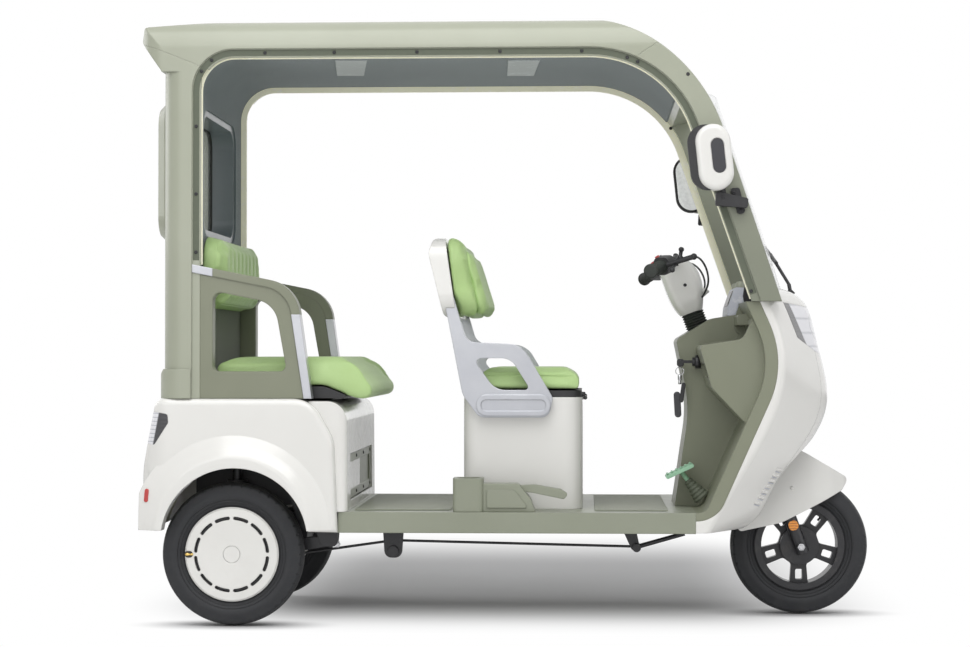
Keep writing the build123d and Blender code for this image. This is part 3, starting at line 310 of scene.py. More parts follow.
def headLampLens(name, look):
    # clear cover with a dark rim along the panel, a bowl and soft streaks behind it
    make = Finish(name, Roughness=0.06, Coat_Weight=1.0, Coat_Roughness=0.02)
    x, y, z = make.axes()
    side = make.magnitude(y)
    inset = (x - look["rim"][0]) * look["across"][0] + (z - look["rim"][1]) * look["across"][1]
    rim = make.ramp(inset, look["rimWidth"], look["rimWidth"] + 0.004)
    dy, dz = side - look["bowl"][0], z - look["bowl"][1]
    reach = (dy * dy + dz * dz) ** 0.5
    inner, outer = look["ring"]
    front = make.ramp(side, *look["bowlEdge"])
    ring = (make.ramp(reach, inner, inner + 0.002) - make.ramp(reach, outer, outer + 0.003)) * front
    core = make.ramp(reach, *look["core"])
    streak = make.ramp(make.fold(z + make.noise(9, 2) * 0.01, look["streakPitch"]), 0.0, 0.006)
    pale = make.blend(streak, look["streak"], look["pale"])
    bowl = make.blend(core * front, make.blend(ring, pale, look["streak"]), look["bulb"])
    return make.feed(
        {"Base Color": make.blend(rim, look["dark"], bowl), "Normal": make.bump(streak + rim, 0.0008, 0.004)}
    )


def tailLampLens(name, look):
    # clear corner, smoked wedge towards the panel, red reflector low down
    make = Finish(name, Roughness=0.08, Coat_Weight=0.9, Coat_Roughness=0.03)
    x, _, z = make.axes()
    wedge = make.ramp(x - (z - look["leanAt"]) * look["lean"], look["edge"], look["edge"] + 0.005)
    flute = make.ramp(make.fold(z, look["flute"]), 0.0006, 0.0022)
    lens = make.blend(wedge, make.blend(flute, look["line"], look["pale"]), look["smoke"])
    tint = make.blend(z < look["redBelow"], lens, look["red"])
    return make.feed({"Base Color": tint, "Normal": make.bump(flute, 0.0008, 0.003)})


def polished(name, colour, roughness, metallic=1.0, glow=0.0):
    # glow gives the surface emission: painted light
    make = Finish(name, Emission_Strength=glow)
    wipe = make.noise(90, 4, 0.6)
    return make.feed(
        {
            "Base Color": make.blend(make.ramp(wipe, 0.35, 0.7), colour, tuple(c * 0.8 for c in colour)),
            "Emission Color": make.blend(wipe, colour, tuple(c * 0.97 for c in colour)),
            "Metallic": metallic + (wipe - 0.5) * 0.02,
            "Roughness": roughness + (make.noise(220, 3) - 0.5) * 0.08,
            "Normal": make.bump(wipe, 0.0001, 0.0006),
        }
    )


def rubberBellows(name, colour, mark):
    make = Finish(name)
    bloom = make.ramp(make.noise(40, 5, 0.7), 0.45, 0.75)
    return make.feed(
        {
            "Base Color": make.blend(bloom * 0.5, colour, mark),
            "Roughness": 0.6 + bloom * 0.2,
            "Normal": make.bump(make.noise(900, 3), 0.0002, 0.002),
        }
    )


# the pillars stand in the shade of the roof
pillarShade = {"top": 1.55, "low": 1.05, "colour": (0.206, 0.220, 0.166)}


def pillarTone(make, x, y, z, tint):
    return make.blend(make.ramp(z, pillarShade["top"], pillarShade["low"]), tint, pillarShade["colour"])


# the lining cloth's colour runs into the recess of the rear window, partly the cloth and partly painted shade
# that darkens the recess
recessClothShade = {"halfWidth": 0.40, "rear": -1.028, "low": 0.955, "colour": (0.150, 0.178, 0.188)}


def recessClothShadeTone(make, x, y, z, tint):
    across = make.magnitude(y) < recessClothShade["halfWidth"]
    return make.blend(across * (x > recessClothShade["rear"]) * (z > recessClothShade["low"]), tint, recessClothShade["colour"])


treadMarks = {
    "treadFrom": 0.200, "blocks": 44, "ribPitch": 0.0125, "cutWidth": 0.0018, "sway": 0.012, "sipeFrom": 0.02,
    "wallRing": 0.0045, "wallEnd": (0.160, 0.166),
}
sageLook = ((0.330, 0.347, 0.268), (0.360, 0.378, 0.296), 0.34, 0.35, 0.005)
sage = mouldedPanel("sageMoulding", *sageLook)
pillarSage = mouldedPanel("pillarSage", *sageLook, pillarTone)
wallSage = mouldedPanel("wallSage", *sageLook, recessClothShadeTone)
white = mouldedPanel("glossWhite", (0.735, 0.728, 0.70), (0.765, 0.758, 0.73), 0.17, 0.7, 0.005)
silver = silverPaint("silverPaint")
satinBlack = blackPaint("satinBlack")
lining = liningCloth(
    "cabLining", (0.148, 0.178, 0.190), (0.183, 0.213, 0.228), (0.12, 0.125, 0.09), recessClothShade["low"]
)
# the cream strip glows a little: painted light on a strip that sits in the cab's shade
cream = grainedPlastic("creamStrip", (0.93, 0.91, 0.72), 0.5, 0.0012, 0.0002, glow=0.14)
blackGrain = grainedPlastic("blackGrain", (0.022, 0.022, 0.024), 0.5, 0.0016, 0.0003)
bellows = rubberBellows("bellowsRubber", (0.022, 0.026, 0.022), (0.06, 0.07, 0.06))
mint = rubberBellows("mintPad", (0.36, 0.62, 0.43), (0.28, 0.5, 0.34))
leather = seatLeather("seatLeather")
pane = clearPane("clearPane", (0.86, 0.89, 0.90), 0.30)
headLook = {
    "rim": (0.822, 0.963), "across": (0.912, 0.410), "rimWidth": 0.010, "dark": (0.07, 0.07, 0.075),
    "bowl": (0.190, 0.895), "bowlEdge": (0.27, 0.24), "ring": (0.034, 0.040), "core": (0.020, 0.010),
    "bulb": (0.92, 0.93, 0.95), "streakPitch": 0.021, "streak": (0.50, 0.51, 0.55), "pale": (0.74, 0.74, 0.78),
}
tailLook = {
    "leanAt": 0.633, "lean": 0.2045, "edge": -1.048, "smoke": (0.06, 0.06, 0.065), "redBelow": 0.46,
    "flute": 0.006, "line": (0.52, 0.53, 0.57),
    "pale": (0.78, 0.78, 0.81), "red": (0.55, 0.06, 0.05),
}
headLens = headLampLens("headLens", headLook)
tailLens = tailLampLens("tailLens", tailLook)
amberLens = lensPlastic("amberLens", (0.85, 0.30, 0.02), (0.5, 0.14, 0.01), 0.004)
# darker copies of the sage moulding for the deck, handbrake, battery cover, inner shield and rear armrests:
# painted shade on parts that stand lower and deeper in the cab than the roof
shadeSage = mouldedPanel("shadeSage", (0.245, 0.262, 0.198), (0.27, 0.287, 0.222), 0.40, 0.12, 0.005)
deepShadeSage = mouldedPanel("deepShadeSage", (0.198, 0.210, 0.148), (0.222, 0.234, 0.168), 0.42, 0.1, 0.006)
archSage = mouldedPanel("archSage", (0.25, 0.245, 0.17), (0.28, 0.275, 0.19), 0.55, 0.0, 0.002)
podGrey = grainedPlastic("podGrey", (0.56, 0.58, 0.65), 0.42, 0.0012, 0.0002, 0.006)
paleGrey = grainedPlastic("paleGrey", (0.46, 0.49, 0.50), 0.5, 0.0014, 0.0002)
sageRubber = rubberBellows("sageRubber", (0.105, 0.12, 0.085), (0.15, 0.165, 0.12))
darkGloss = mouldedPanel("darkGloss", (0.030, 0.030, 0.036), (0.045, 0.045, 0.052), 0.34, 0.2, 0.002)
redKnob = mouldedPanel("redKnob", (0.45, 0.03, 0.03), (0.5, 0.05, 0.04), 0.3, 0.4, 0.001)
# the mirror glass glows a little: painted light standing in for a bright reflection
mirrorGlass = polished("mirrorGlass", (0.90, 0.91, 0.93), 0.10, 0.35, 0.35)
steel = polished("steel", (0.62, 0.62, 0.64), 0.26)
brass = polished("brass", (0.72, 0.50, 0.16), 0.28)

nodeFinish = {
    sage: "roof_shell",
    pillarSage: "front_frame",
    wallSage: "rear_wall",
    shadeSage: "floor_deck handbrake battery_cover",
    deepShadeSage: "inner_shield rear_armrests",
    archSage: "wheel_arch_liners",
    white: "rear_body driver_seat_box shield_panels front_panel nose_cap driver_back_shell mirrors "
    "rear_wheel_left rear_wheel_right front_fender handlebar_housing",
    silver: "driver_seat_arms armrest_trims",
    satinBlack: "chassis_frame rear_axle rear_suspension brake_linkage front_wheel fork",
    lining: "cab_liner",
    podGrey: "instrument_pod",
    cream: "door_lips",
    blackGrain: "battery_block wiper driver_seat_pan rear_seat_base mirror_brackets handlebar",
    bellows: "steering_boot",
    sageRubber: "pedal_boot",
    mint: "brake_pedal",
    leather: "driver_seat_cushion driver_back_pad driver_back_panel rear_seat_cushion rear_backrest",
    pane: "rear_window windscreen",
    headLens: "headlights",
    tailLens: "rear_lamps",
    amberLens: "fork_reflectors",
}


def dress(piece, material):
    piece.data.materials.clear()
    piece.data.materials.append(material)


for material, names in nodeFinish.items():
    for name in names.split():
        dress(nodes[name], material)

for name in ("front_tyre", "rear_tyre_left", "rear_tyre_right"):
    low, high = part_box(name)
    title = name.replace("_", " ").title().replace(" ", "")
    dress(nodes[name], tyreRubber(title, (low + high) / 2, treadMarks))
print("finishes on")


def addObject(name, mesh, body, material):
    piece = bpy.data.objects.new(name, mesh)
    bpy.context.scene.collection.objects.link(piece)
    dress(piece, material)
    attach(piece, body)
    return piece


def shadeSmooth(mesh):
    mesh.polygons.foreach_set("use_smooth", [True] * len(mesh.polygons))
    mesh.update()


def evaluated(piece):
    graph = bpy.context.evaluated_depsgraph_get()
    return bpy.data.meshes.new_from_object(piece.evaluated_get(graph))


def swapMesh(piece, mesh):
    old = piece.data
    piece.modifiers.clear()
    piece.data = mesh
    bpy.data.meshes.remove(old)


def stuffed(name, mesh, body, pad):
    # a slightly smaller form, remeshed, blown up by cloth pressure, then sewn
    piece = addObject(name, mesh, body, leather)
    corners = [v.co.copy() for v in mesh.vertices]
    low = Vector([min(c[i] for c in corners) for i in range(3)])
    high = Vector([max(c[i] for c in corners) for i in range(3)])
    middle = (low + high) / 2
    for vert in mesh.vertices:
        for i in range(3):
            span = (high[i] - low[i]) / 2
            shrink = (span - pad["margin"][i]) / span
            vert.co[i] = middle[i] + (vert.co[i] - middle[i]) * shrink + pad["shift"][i]
    remesh = piece.modifiers.new("remesh", "REMESH")
    remesh.mode = "VOXEL"
    remesh.voxel_size = pad["voxel"]
    swapMesh(piece, evaluated(piece))
    relax = piece.modifiers.new("relax", "SMOOTH")
    relax.factor = 0.6
    relax.iterations = pad["relax"]
    swapMesh(piece, evaluated(piece))
    inflate(piece, pad)
    settle = piece.modifiers.new("settle", "SMOOTH")
    settle.factor = 0.5
    settle.iterations = pad["settle"]
    swapMesh(piece, evaluated(piece))
    if "channels" in pad:
        sewChannels(piece, pad["channels"])
    shadeSmooth(piece.data)
    return piece


clothSteps = 20


def inflate(piece, pad):
    rest = [v.co.copy() for v in piece.data.vertices]
    group = piece.vertex_groups.new(name="held")
    axis, limit, sign = pad["held"]
    group.add([v.index for v in piece.data.vertices if (v.co[axis] - limit) * sign > 0], 1, "REPLACE")
    cloth = piece.modifiers.new("cloth", "CLOTH")
    cloth.settings.quality = 4
    cloth.settings.mass = 0.25
    cloth.settings.tension_stiffness = 12
    cloth.settings.compression_stiffness = 12
    cloth.settings.bending_stiffness = 0.6
    cloth.settings.use_pressure = True
    cloth.settings.uniform_pressure_force = pad["pressure"]
    cloth.settings.vertex_group_mass = "held"
    cloth.settings.effector_weights.gravity = 0
    cloth.collision_settings.use_collision = False
    scene = bpy.context.scene
    for step in range(1, clothSteps + 1):
        scene.frame_set(step)
    blown = evaluated(piece)
    scene.frame_set(1)
    swapMesh(piece, blown)
    piece.vertex_groups.clear()
    for vert, start in zip(piece.data.vertices, rest):
        move = vert.co - start
        if move.length > pad["cap"]:
            vert.co = start + move.normalized() * pad["cap"]


def sewChannels(piece, sewn):
    # lines of stitching pull the cover in; the puffs between them stay full
    axis, pitch, depth, sharp = sewn["axis"], sewn["pitch"], sewn["depth"], sewn["sharp"]
    mesh = piece.data
    normals = [v.normal.copy() for v in mesh.vertices]
    for vert, normal in zip(mesh.vertices, normals):
        facing = max(0, normal.dot(Vector(sewn["face"]))) ** 0.5
        edge = 1
        for i, low, high, soft in sewn["zone"]:
            for inset in (vert.co[i] - low, high - vert.co[i]):
                edge *= max(0, min(1, inset / soft))
        phase = abs(math.sin(math.pi * (vert.co[axis] - sewn["start"]) / pitch))
        vert.co -= normal * depth * (1 - phase) ** sharp * facing * edge
    mesh.update()


def cordAlong(name, points, radius, body, material, closed=False, sides=3):
    curve = bpy.data.curves.new(name, "CURVE")
    curve.dimensions = "3D"
    curve.bevel_depth = radius
    curve.bevel_resolution = sides
    curve.use_fill_caps = True
    line = curve.splines.new("NURBS" if len(points) > 3 else "POLY")
    line.points.add(len(points) - 1)
    for point, co in zip(line.points, points):
        point.co = (*co, 1)
    line.use_cyclic_u = closed
    line.use_endpoint_u = not closed
    line.order_u = 3
    seat = bpy.data.objects.new(name, curve)
    bpy.context.scene.collection.objects.link(seat)
    bpy.context.view_layer.update()
    mesh = evaluated(seat)
    bpy.data.objects.remove(seat)
    shadeSmooth(mesh)
    return addObject(name, mesh, body, material)


def freeCable(name, points, radius, body):
    line = cordAlong(name, points, 0, body, satinBlack)
    bpy.data.objects.remove(line)
    cable = cordAlong(name, points, radius, body, satinBlack)
    2 * radius


def seamRound(name, piece, centre, first, second, lift, radius, count=96):
    # piping laid on the surface where a plane through centre meets the cushion
    points = []
    first, second = Vector(first), Vector(second)
    for i in range(count):
        turn = math.tau * i / count
        way = (first * math.cos(turn) + second * math.sin(turn)).normalized()
        hit, place, normal, index = piece.ray_cast(Vector(centre) + way * 2, -way)
        if hit:
            points.append(place + normal * lift)
    return cordAlong(name, points, radius, piece["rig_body"], leather, closed=True)


# what the pads share
padBasis = {"shift": (0, 0, 0), "pressure": 4.0, "fill": 0.8}
driverCushion = {
    **padBasis, "margin": (0.006, 0.007, 0.005), "voxel": 0.006, "relax": 5, "settle": 12,
    "cap": 0.010, "held": (2, 0.712, -1),
    "seam": {
        "centre": (0.055, 0, 0.748), "first": (1, 0, 0), "second": (0, 1, 0), "lift": -0.0005, "radius": 0.0026,
    },
}
driverBack = {
    **padBasis, "margin": (0.004, 0.006, 0.005), "voxel": 0.006, "relax": 6, "settle": 12,
    "cap": 0.010, "held": (0, -0.175, -1),
}
driverBackFront = {
    **padBasis, "margin": (0.002, 0.006, 0.004), "shift": (0.001, 0, 0), "voxel": 0.005, "relax": 5, "settle": 12,
    "cap": 0.012, "held": (0, -0.150, -1),
    "channels": {
        "axis": 1, "start": 0, "pitch": 0.075, "depth": 0.008, "sharp": 3, "face": (1, 0, 0.3),
        "zone": [(2, 0.92, 1.15, 0.03), (1, -0.29, 0.29, 0.02)],
    },
}
rearCushion = {
    **padBasis, "margin": (0.008, 0.008, 0.006), "shift": (0, 0, 0.002), "voxel": 0.0075, "relax": 8, "settle": 8,
    "cap": 0.014, "held": (2, 0.722, -1),
    "channels": {
        "axis": 1, "start": 0.0325, "pitch": 0.065, "depth": 0.0035, "sharp": 4, "face": (0.8, 0, 0.6),
        "zone": [(0, -0.62, -0.3, 0.12), (1, -0.37, 0.37, 0.03)],
    },
}
rearBack = {
    **padBasis, "margin": (0.006, 0.008, 0.006), "voxel": 0.0065, "relax": 8, "settle": 8,
    "cap": 0.014, "held": (0, -0.925, -1),
    "channels": {
        "axis": 1, "start": 0.0375, "pitch": 0.075, "depth": 0.009, "sharp": 3, "face": (1, 0, 0.2),
        "zone": [(2, 0.955, 1.17, 0.05), (1, -0.35, 0.35, 0.03)],
    },
    "seam": {
        "centre": (-0.893, 0, 1.06), "first": (0, 1, 0), "second": (0, 0, 1), "lift": -0.001, "radius": 0.003,
    },
}


def upholster(name, node, body, pad):
    piece = stuffed(name, nodes[node].data.copy(), body, pad)
    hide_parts(node)
    if "seam" in pad:
        seamRound(f"{name}Piping", piece, **pad["seam"])


upholster("driverCushion", "driver_seat_cushion", "seat_lid", driverCushion)
upholster("driverBackLayer", "driver_back_pad", "body", driverBack)
upholster("driverBackPanel", "driver_back_panel", "body", driverBackFront)
upholster("benchCushion", "rear_seat_cushion", "body", rearCushion)
upholster("benchBack", "rear_backrest", "body", rearBack)
print("upholstery made")

camera = {
    "place": (0.222, -6.860, 0.810), "pitch": 0.83, "yaw": 2.64, "focalPixels": 2168, "imageWidth": 970,
    "imageHeight": 647, "sensor": 36,
}
cameraTurn = Euler((math.radians(90 + camera["pitch"]), 0, math.radians(camera["yaw"])))


def seenAt(px, py):
    # the surface point behind a pixel of the photograph, and its normal
    across, up = px - camera["imageWidth"] / 2, camera["imageHeight"] / 2 - py
    way = cameraTurn.to_matrix() @ Vector((across, up, -camera["focalPixels"])).normalized()
    bpy.context.view_layer.update()
    graph = bpy.context.evaluated_depsgraph_get()
    hit, place, normal, *rest = bpy.context.scene.ray_cast(graph, Vector(camera["place"]), way)
    return (place, normal) if hit else None


def facing(place, normal, up=(0, 0, 1)):
    # local z along the normal, local y as near to up as it can be
    z = Vector(normal).normalized()
    x = Vector(up).cross(z).normalized()
    y = z.cross(x)
    turn = Matrix((x, y, z)).transposed().to_4x4()
    return Matrix.Translation(Vector(place)) @ turn


def lathe(name, profile, matrix, body, material, count=24, flats=0, hollow=False):
    # (radius, height) rings about local z; flats makes a hexagon, hollow joins the last ring to the first
    verts, faces = [], []
    for radius, height in profile:
        for i in range(count):
            turn = math.tau * i / count
            reach = radius
            if flats and radius > 0:
                reach = radius / math.cos((turn % (math.tau / flats)) - math.pi / flats)
            verts.append((reach * math.cos(turn), reach * math.sin(turn), height))
    for ring in range(len(profile) - (0 if hollow else 1)):
        above = (ring + 1) % len(profile)
        for i in range(count):
            j = (i + 1) % count
            faces.append((ring * count + i, ring * count + j, above * count + j, above * count + i))
    if not hollow:
        faces.append(tuple(range(count))[::-1])
        faces.append(tuple((len(profile) - 1) * count + i for i in range(count)))
    mesh = bpy.data.meshes.new(name)
    mesh.from_pydata([matrix @ Vector(v) for v in verts], [], faces)
    mesh.validate()
    if not flats:
        shadeSmooth(mesh)
    return addObject(name, mesh, body, material)


def stadium(length, width, count=12):
    points, half = [], (length - width) / 2
    for end in (1, -1):
        for i in range(count + 1):
            turn = math.pi * i / count + (0 if end == 1 else math.pi)
            points.append((width / 2 * math.cos(turn), end * half + width / 2 * math.sin(turn)))
    return points


def roundedBox(width, height, radius, count=6):
    points = []
    for cx, cy, start in ((1, 1, 0), (-1, 1, 0.5), (-1, -1, 1.0), (1, -1, 1.5)):
        for i in range(count + 1):
            turn = math.pi * (start + 0.5 * i / count)
            x = cx * (width / 2 - radius) + radius * math.cos(turn)
            y = cy * (height / 2 - radius) + radius * math.sin(turn)
            points.append((x, y))
    return points


def slab(name, points, thickness, soft, matrix, body, material, slotName):
    # flat shape with a rounded upper edge, lying on local z = 0
    work = bmesh.new()
    face = work.faces.new([work.verts.new((x, y, 0)) for x, y in points])
    grown = bmesh.ops.extrude_face_region(work, geom=[face])
    top = [v for v in grown["geom"] if isinstance(v, bmesh.types.BMVert)]
    bmesh.ops.translate(work, verts=top, vec=(0, 0, thickness))
    rim = [e for e in work.edges if all(v in top for v in e.verts)]
    bmesh.ops.bevel(work, geom=rim, offset=soft, segments=3, profile=0.5, affect="EDGES")
    bmesh.ops.recalc_face_normals(work, faces=work.faces)
    bmesh.ops.transform(work, matrix=matrix, verts=work.verts)
    mesh = bpy.data.meshes.new(name)
    work.to_mesh(mesh)
    work.free()
    return addObject(name, mesh, body, material)


sideName = {-1: "Right", 1: "Left"}


def onSide(place, side):
    x, y, z = place
    return Vector((x, side * y, z))


def bothSides(found):
    # what is seen on the right, and its mirror image on the left
    return [(*found, -1), (*[onSide(part, -1) for part in found], 1)]


# profiles of fixings as (radius, height)
panHead = [
    (0.0054, 0.0), (0.0054, 0.0006), (0.0046, 0.0020), (0.0030, 0.0026), (0.0022, 0.0026), (0.0016, 0.0014),
    (0.0001, 0.0013),
]
capNut = [
    (0.0100, 0.0), (0.0100, 0.0018), (0.0075, 0.0020), (0.0075, 0.0075), (0.0068, 0.0085), (0.0001, 0.0088),
]


def addScrew(name, place, normal, body):
    lathe(name, panHead, facing(place, normal), body, satinBlack, 16)


# dark strip in the groove round each door: up the rear pillar, along the roof and down the front pillar; it
# stands for the rubber in the groove and also paints the shade that the groove holds
doorStrip = {
    "y": 0.4474, "thickness": 0.0010, "soft": 0.0003, "half": 0.0095, "low": (-0.936, 1.092), "steps": 12,
    "rearArc": (-0.824, 1.598, 0.112), "frontArc": (0.2346, 1.380, 0.330), "frontTurn": 19.1,
    "end": (0.7176, 0.990),
}


def addDoorStrips():
    rows = [(*doorStrip["low"], 180)]
    arcs = [(*doorStrip["rearArc"], 180, 90), (*doorStrip["frontArc"], 90, doorStrip["frontTurn"])]
    for cx, cz, radius, first, last in arcs:
        for i in range(doorStrip["steps"] + 1):
            turn = first + (last - first) * i / doorStrip["steps"]
            angle = math.radians(turn)
            rows.append((cx + radius * math.cos(angle), cz + radius * math.sin(angle), turn))
    rows.append((*doorStrip["end"], doorStrip["frontTurn"]))
    edges = []
    for half in (doorStrip["half"], -doorStrip["half"]):
        ways = [(x, z, math.radians(turn)) for x, z, turn in rows]
        edges.append([(x + half * math.cos(way), z + half * math.sin(way)) for x, z, way in ways])
    for side in (-1, 1):
        points = [(-side * x, z) for x, z in edges[0] + edges[1][::-1]]
        spot = facing((0, side * doorStrip["y"], 0), (0, side, 0))
        shape = points, doorStrip["thickness"], doorStrip["soft"]
        # dark rubber colour: the strip itself, and painted shade in the groove
        slab(f"doorStrip{sideName[side]}", *shape, spot, "body", sageRubber, "green_panel")
    print("door strips laid")


# screws through that strip, as x and z
doorScrews = {
    "y": 0.4484,
    "places": [
        (-0.936, 1.116), (-0.936, 1.290), (-0.936, 1.492), (-0.920, 1.656), (-0.890, 1.689), (-0.730, 1.710),
        (-0.523, 1.710), (-0.276, 1.710), (-0.029, 1.710), (0.213, 1.710), (0.3475, 1.690), (0.378, 1.677),
        (0.628, 1.250), (0.711, 0.998),
    ],
}
# other fixings: pixel of the photograph, profile, finish, flats of the nut
smallFixings = [
    ((670.7, 128.4), panHead, satinBlack, 0), ((688.0, 74.0), panHead, satinBlack, 0),
    ((337.0, 544.0), capNut, steel, 6),
]


def addScrews():
    for i, (x, z) in enumerate(doorScrews["places"]):
        for side in (-1, 1):
            addScrew(f"doorScrew{sideName[side]}{i}", (x, side * doorScrews["y"], z), (0, side, 0), "body")
    for i, (pixel, profile, finish, flats) in enumerate(smallFixings):
        found = seenAt(*pixel)
        if found:
            lathe(f"smallFixing{i}", profile, facing(*found), "body", finish, 24, flats)
    print("screws set")


# dark strips in the grooves between the deck's ribs: painted shade in the grooves
deckGrooveShade = {
    "top": 0.3432, "pitch": 0.040, "count": 19, "width": 0.012, "thickness": 0.0006, "soft": 0.0002,
    "runs": {"Rear": (-0.465, -0.185), "Front": (0.255, 0.465)},
}


def addDeckGrooves():
    for i in range(deckGrooveShade["count"]):
        y = (i - (deckGrooveShade["count"] - 1) / 2) * deckGrooveShade["pitch"]
        for run, (low, high) in deckGrooveShade["runs"].items():
            spot = facing(((low + high) / 2, y, deckGrooveShade["top"]), (0, 0, 1), (1, 0, 0))
            shape = stadium(high - low, deckGrooveShade["width"]), deckGrooveShade["thickness"], deckGrooveShade["soft"]
            # dark strip lying in the groove: painted shade
            slab(f"deckGroove{run}{i}", *shape, spot, "body", sageRubber, "green_panel")
    print("deck grooved")


# outlines are length and width; bolts on the bracket are x, y, z
mirrorTrim = {
    "tilt": 6.0, "inlayPlace": (0.6108, 0.5290, 1.391), "inlay": (0.101, 0.037),
    "glassPlace": (0.5778, 0.4950, 1.387), "glass": (0.176, 0.088),
    "bolts": [(0.6588, 0.469, 1.286), (0.6808, 0.469, 1.234), (0.6248, 0.499, 1.270)],
}


def addMirrorTrim():
    lean = math.radians(mirrorTrim["tilt"])
    up = Vector((-math.sin(lean), 0, math.cos(lean)))
    for side in (-1, 1):
        spot = facing(onSide(mirrorTrim["inlayPlace"], side), (0, side, 0), up)
        shape = stadium(*mirrorTrim["inlay"]), 0.0022, 0.0012
        slab(f"mirrorInlay{sideName[side]}", *shape, spot, "body", darkGloss, "black_plastic")
        spot = facing(onSide(mirrorTrim["glassPlace"], side), (0, -side, 0), up)
        shape = stadium(*mirrorTrim["glass"]), 0.0020, 0.0008
        slab(f"mirrorGlass{sideName[side]}", *shape, spot, "body", mirrorGlass, "glass")
        for i, place in enumerate(mirrorTrim["bolts"]):
            addScrew(f"mirrorBolt{sideName[side]}{i}", onSide(place, side), (0, side, 0), "body")
    print("mirrors trimmed")


# notch and valve are x, y and z from the wheel's centre; rings are (radius, height) on its face
rearWheel = {
    "bodies": {-1: "wheel_rear_right", 1: "wheel_rear_left"}, "centre": (-0.831, 0.385, 0.215),
    "slotBacking": [(0.098, 0.0315), (0.1185, 0.0315), (0.1185, 0.0335), (0.098, 0.0335)],
    "capRing": [(0.0240, 0.0428), (0.0247, 0.0434), (0.0255, 0.0434), (0.0262, 0.0428)],
    "notch": (-0.1285, 0.0402, 0), "notchSize": (0.0270, 0.0180), "valve": (-0.1385, 0.0450, 0),
}
frontWheel = {"axle": (0.891, 0, 0.215), "nutY": 0.102, "valveTurn": 51, "valveReach": 0.1195}
valve = [
    (0.0048, 0.0), (0.0050, 0.006), (0.0036, 0.008), (0.0030, 0.015), (0.0034, 0.0155), (0.0034, 0.022),
    (0.0022, 0.0235), (0.0001, 0.0236),
]


def addWheelTrim():
    for side, body in rearWheel["bodies"].items():
        centre = onSide(rearWheel["centre"], side)
        mark = sideName[side]
        hub = facing(centre, (0, side, 0))
        ring = rearWheel["slotBacking"]
        lathe(f"slotBacking{mark}", ring, hub, body, satinBlack, 64, hollow=True)
        lathe(f"capRing{mark}", rearWheel["capRing"], hub, body, white, 48, hollow=True)
        spot = facing(centre + onSide(rearWheel["notch"], side), (0, side, 0), (1, 0, 0))
        shape = stadium(*rearWheel["notchSize"]), 0.0034, 0.0008
        slab(f"valveNotch{mark}", *shape, spot, body, blackGrain, "black_plastic")
        spot = facing(centre + onSide(rearWheel["valve"], side), (1, 0, 0))
        lathe(f"valve{mark}", valve, spot, body, brass, 20)
    axle = Vector(frontWheel["axle"])
    for side in (-1, 1):
        spot = facing(axle + Vector((0, side * frontWheel["nutY"], 0)), (0, side, 0))
        lathe(f"axleNut{sideName[side]}", capNut, spot, "steered", steel, 24, 6)
    turn = math.radians(frontWheel["valveTurn"])
    way = Vector((math.cos(turn), 0, math.sin(turn)))
    spot = facing(axle + way * frontWheel["valveReach"], -way, (0, 1, 0))
    lathe("frontValve", valve, spot, "wheel_front", satinBlack, 20)
    print("wheels trimmed")


# louvres low on each shield panel, from the upper end to the lower end, each with a grey strip of painted shadow
# beside it; pixels are the photograph's
louvres = {
    "first": (779.0, 470.0), "last": (757.5, 503.0), "count": 7, "size": (0.038, 0.0105), "tilt": 80,
    "sink": 0.0014, "shadowStripSize": (0.0342, 0.0034), "shadowStripShift": 0.0074,
}
fenderClip = {
    "pixel": (792.0, 488.0),
    "profile": [(0.006, -0.001), (0.0058, 0.001), (0.004, 0.0028), (0.0001, 0.0034)],
}
sideReflector = {"pixel": (146.5, 495.5), "size": (0.013, 0.040, 0.006), "sink": 0.001}


def addLouvres():
    for i in range(louvres["count"]):
        share = i / (louvres["count"] - 1)
        pixel = [a + (b - a) * share for a, b in zip(louvres["first"], louvres["last"])]
        for place, normal, side in bothSides(seenAt(*pixel)):
            tilt = Matrix.Rotation(math.radians(-side * louvres["tilt"]), 4, "Z")
            spot = facing(place - normal * louvres["sink"], normal) @ tilt
            shape = stadium(*louvres["size"]), 0.0048, 0.0030
            slab(f"louvre{sideName[side]}{i}", *shape, spot, "body", white, "white_panel")
            # a grey strip just beside the louvre: painted shadow between the bars
            spot = spot @ Matrix.Translation((side * louvres["shadowStripShift"], 0, 0))
            shape = stadium(*louvres["shadowStripSize"]), 0.0022, 0.0004
            slab(f"louvreShadow{sideName[side]}{i}", *shape, spot, "body", podGrey, "black_plastic")
    for place, normal, side in bothSides(seenAt(*fenderClip["pixel"])):
        spot = facing(place, normal)
        lathe(f"fenderClip{sideName[side]}", fenderClip["profile"], spot, "steered", white)
    for place, normal, side in bothSides(seenAt(*sideReflector["pixel"])):
        spot = facing(place - normal * sideReflector["sink"], normal)
        shape = roundedBox(*sideReflector["size"]), 0.0048, 0.002
        slab(f"sideReflector{sideName[side]}", *shape, spot, "body", redKnob, "lamp_red")
    print("louvres set")


# lock on the inner shield, with its key and what hangs from the ring
ignition = {
    "lock": (0.566, -0.152, 0.789),
    "barrel": [
        (0.021, -0.012), (0.021, 0.002), (0.019, 0.005), (0.0135, 0.0055), (0.0135, 0.012), (0.012, 0.014),
        (0.005, 0.0142), (0.0001, 0.0142),
    ],
    "key": (-0.032, -0.0012, 0), "keySize": (0.038, 0.009, 0.003),
    "head": (-0.050, 0.003, -0.003), "headSize": (0.022, 0.024, 0.008),
    "ring": (0.514, -0.152, 0.772), "ringRadius": 0.013, "ringWave": 0.004, "ringDrop": 0.012,
    "ringWire": 0.0011, "ringPoints": 12,
    "swivel": [
        (0.0045, 0.0), (0.0062, 0.004), (0.0062, 0.016), (0.0040, 0.019), (0.0048, 0.023), (0.0048, 0.030),
        (0.0001, 0.031),
    ],
    "swivelDrop": (0, 0, -0.022),
    # name, place from the ring, length, width, lean in degrees, finish
    "hanging": [
        ("spareKey", (0.008, -0.004, -0.078), 0.062, 0.013, 8, blackGrain),
        ("leatherTag", (-0.007, 0.004, -0.115), 0.080, 0.021, -3, darkGloss),
    ],
}


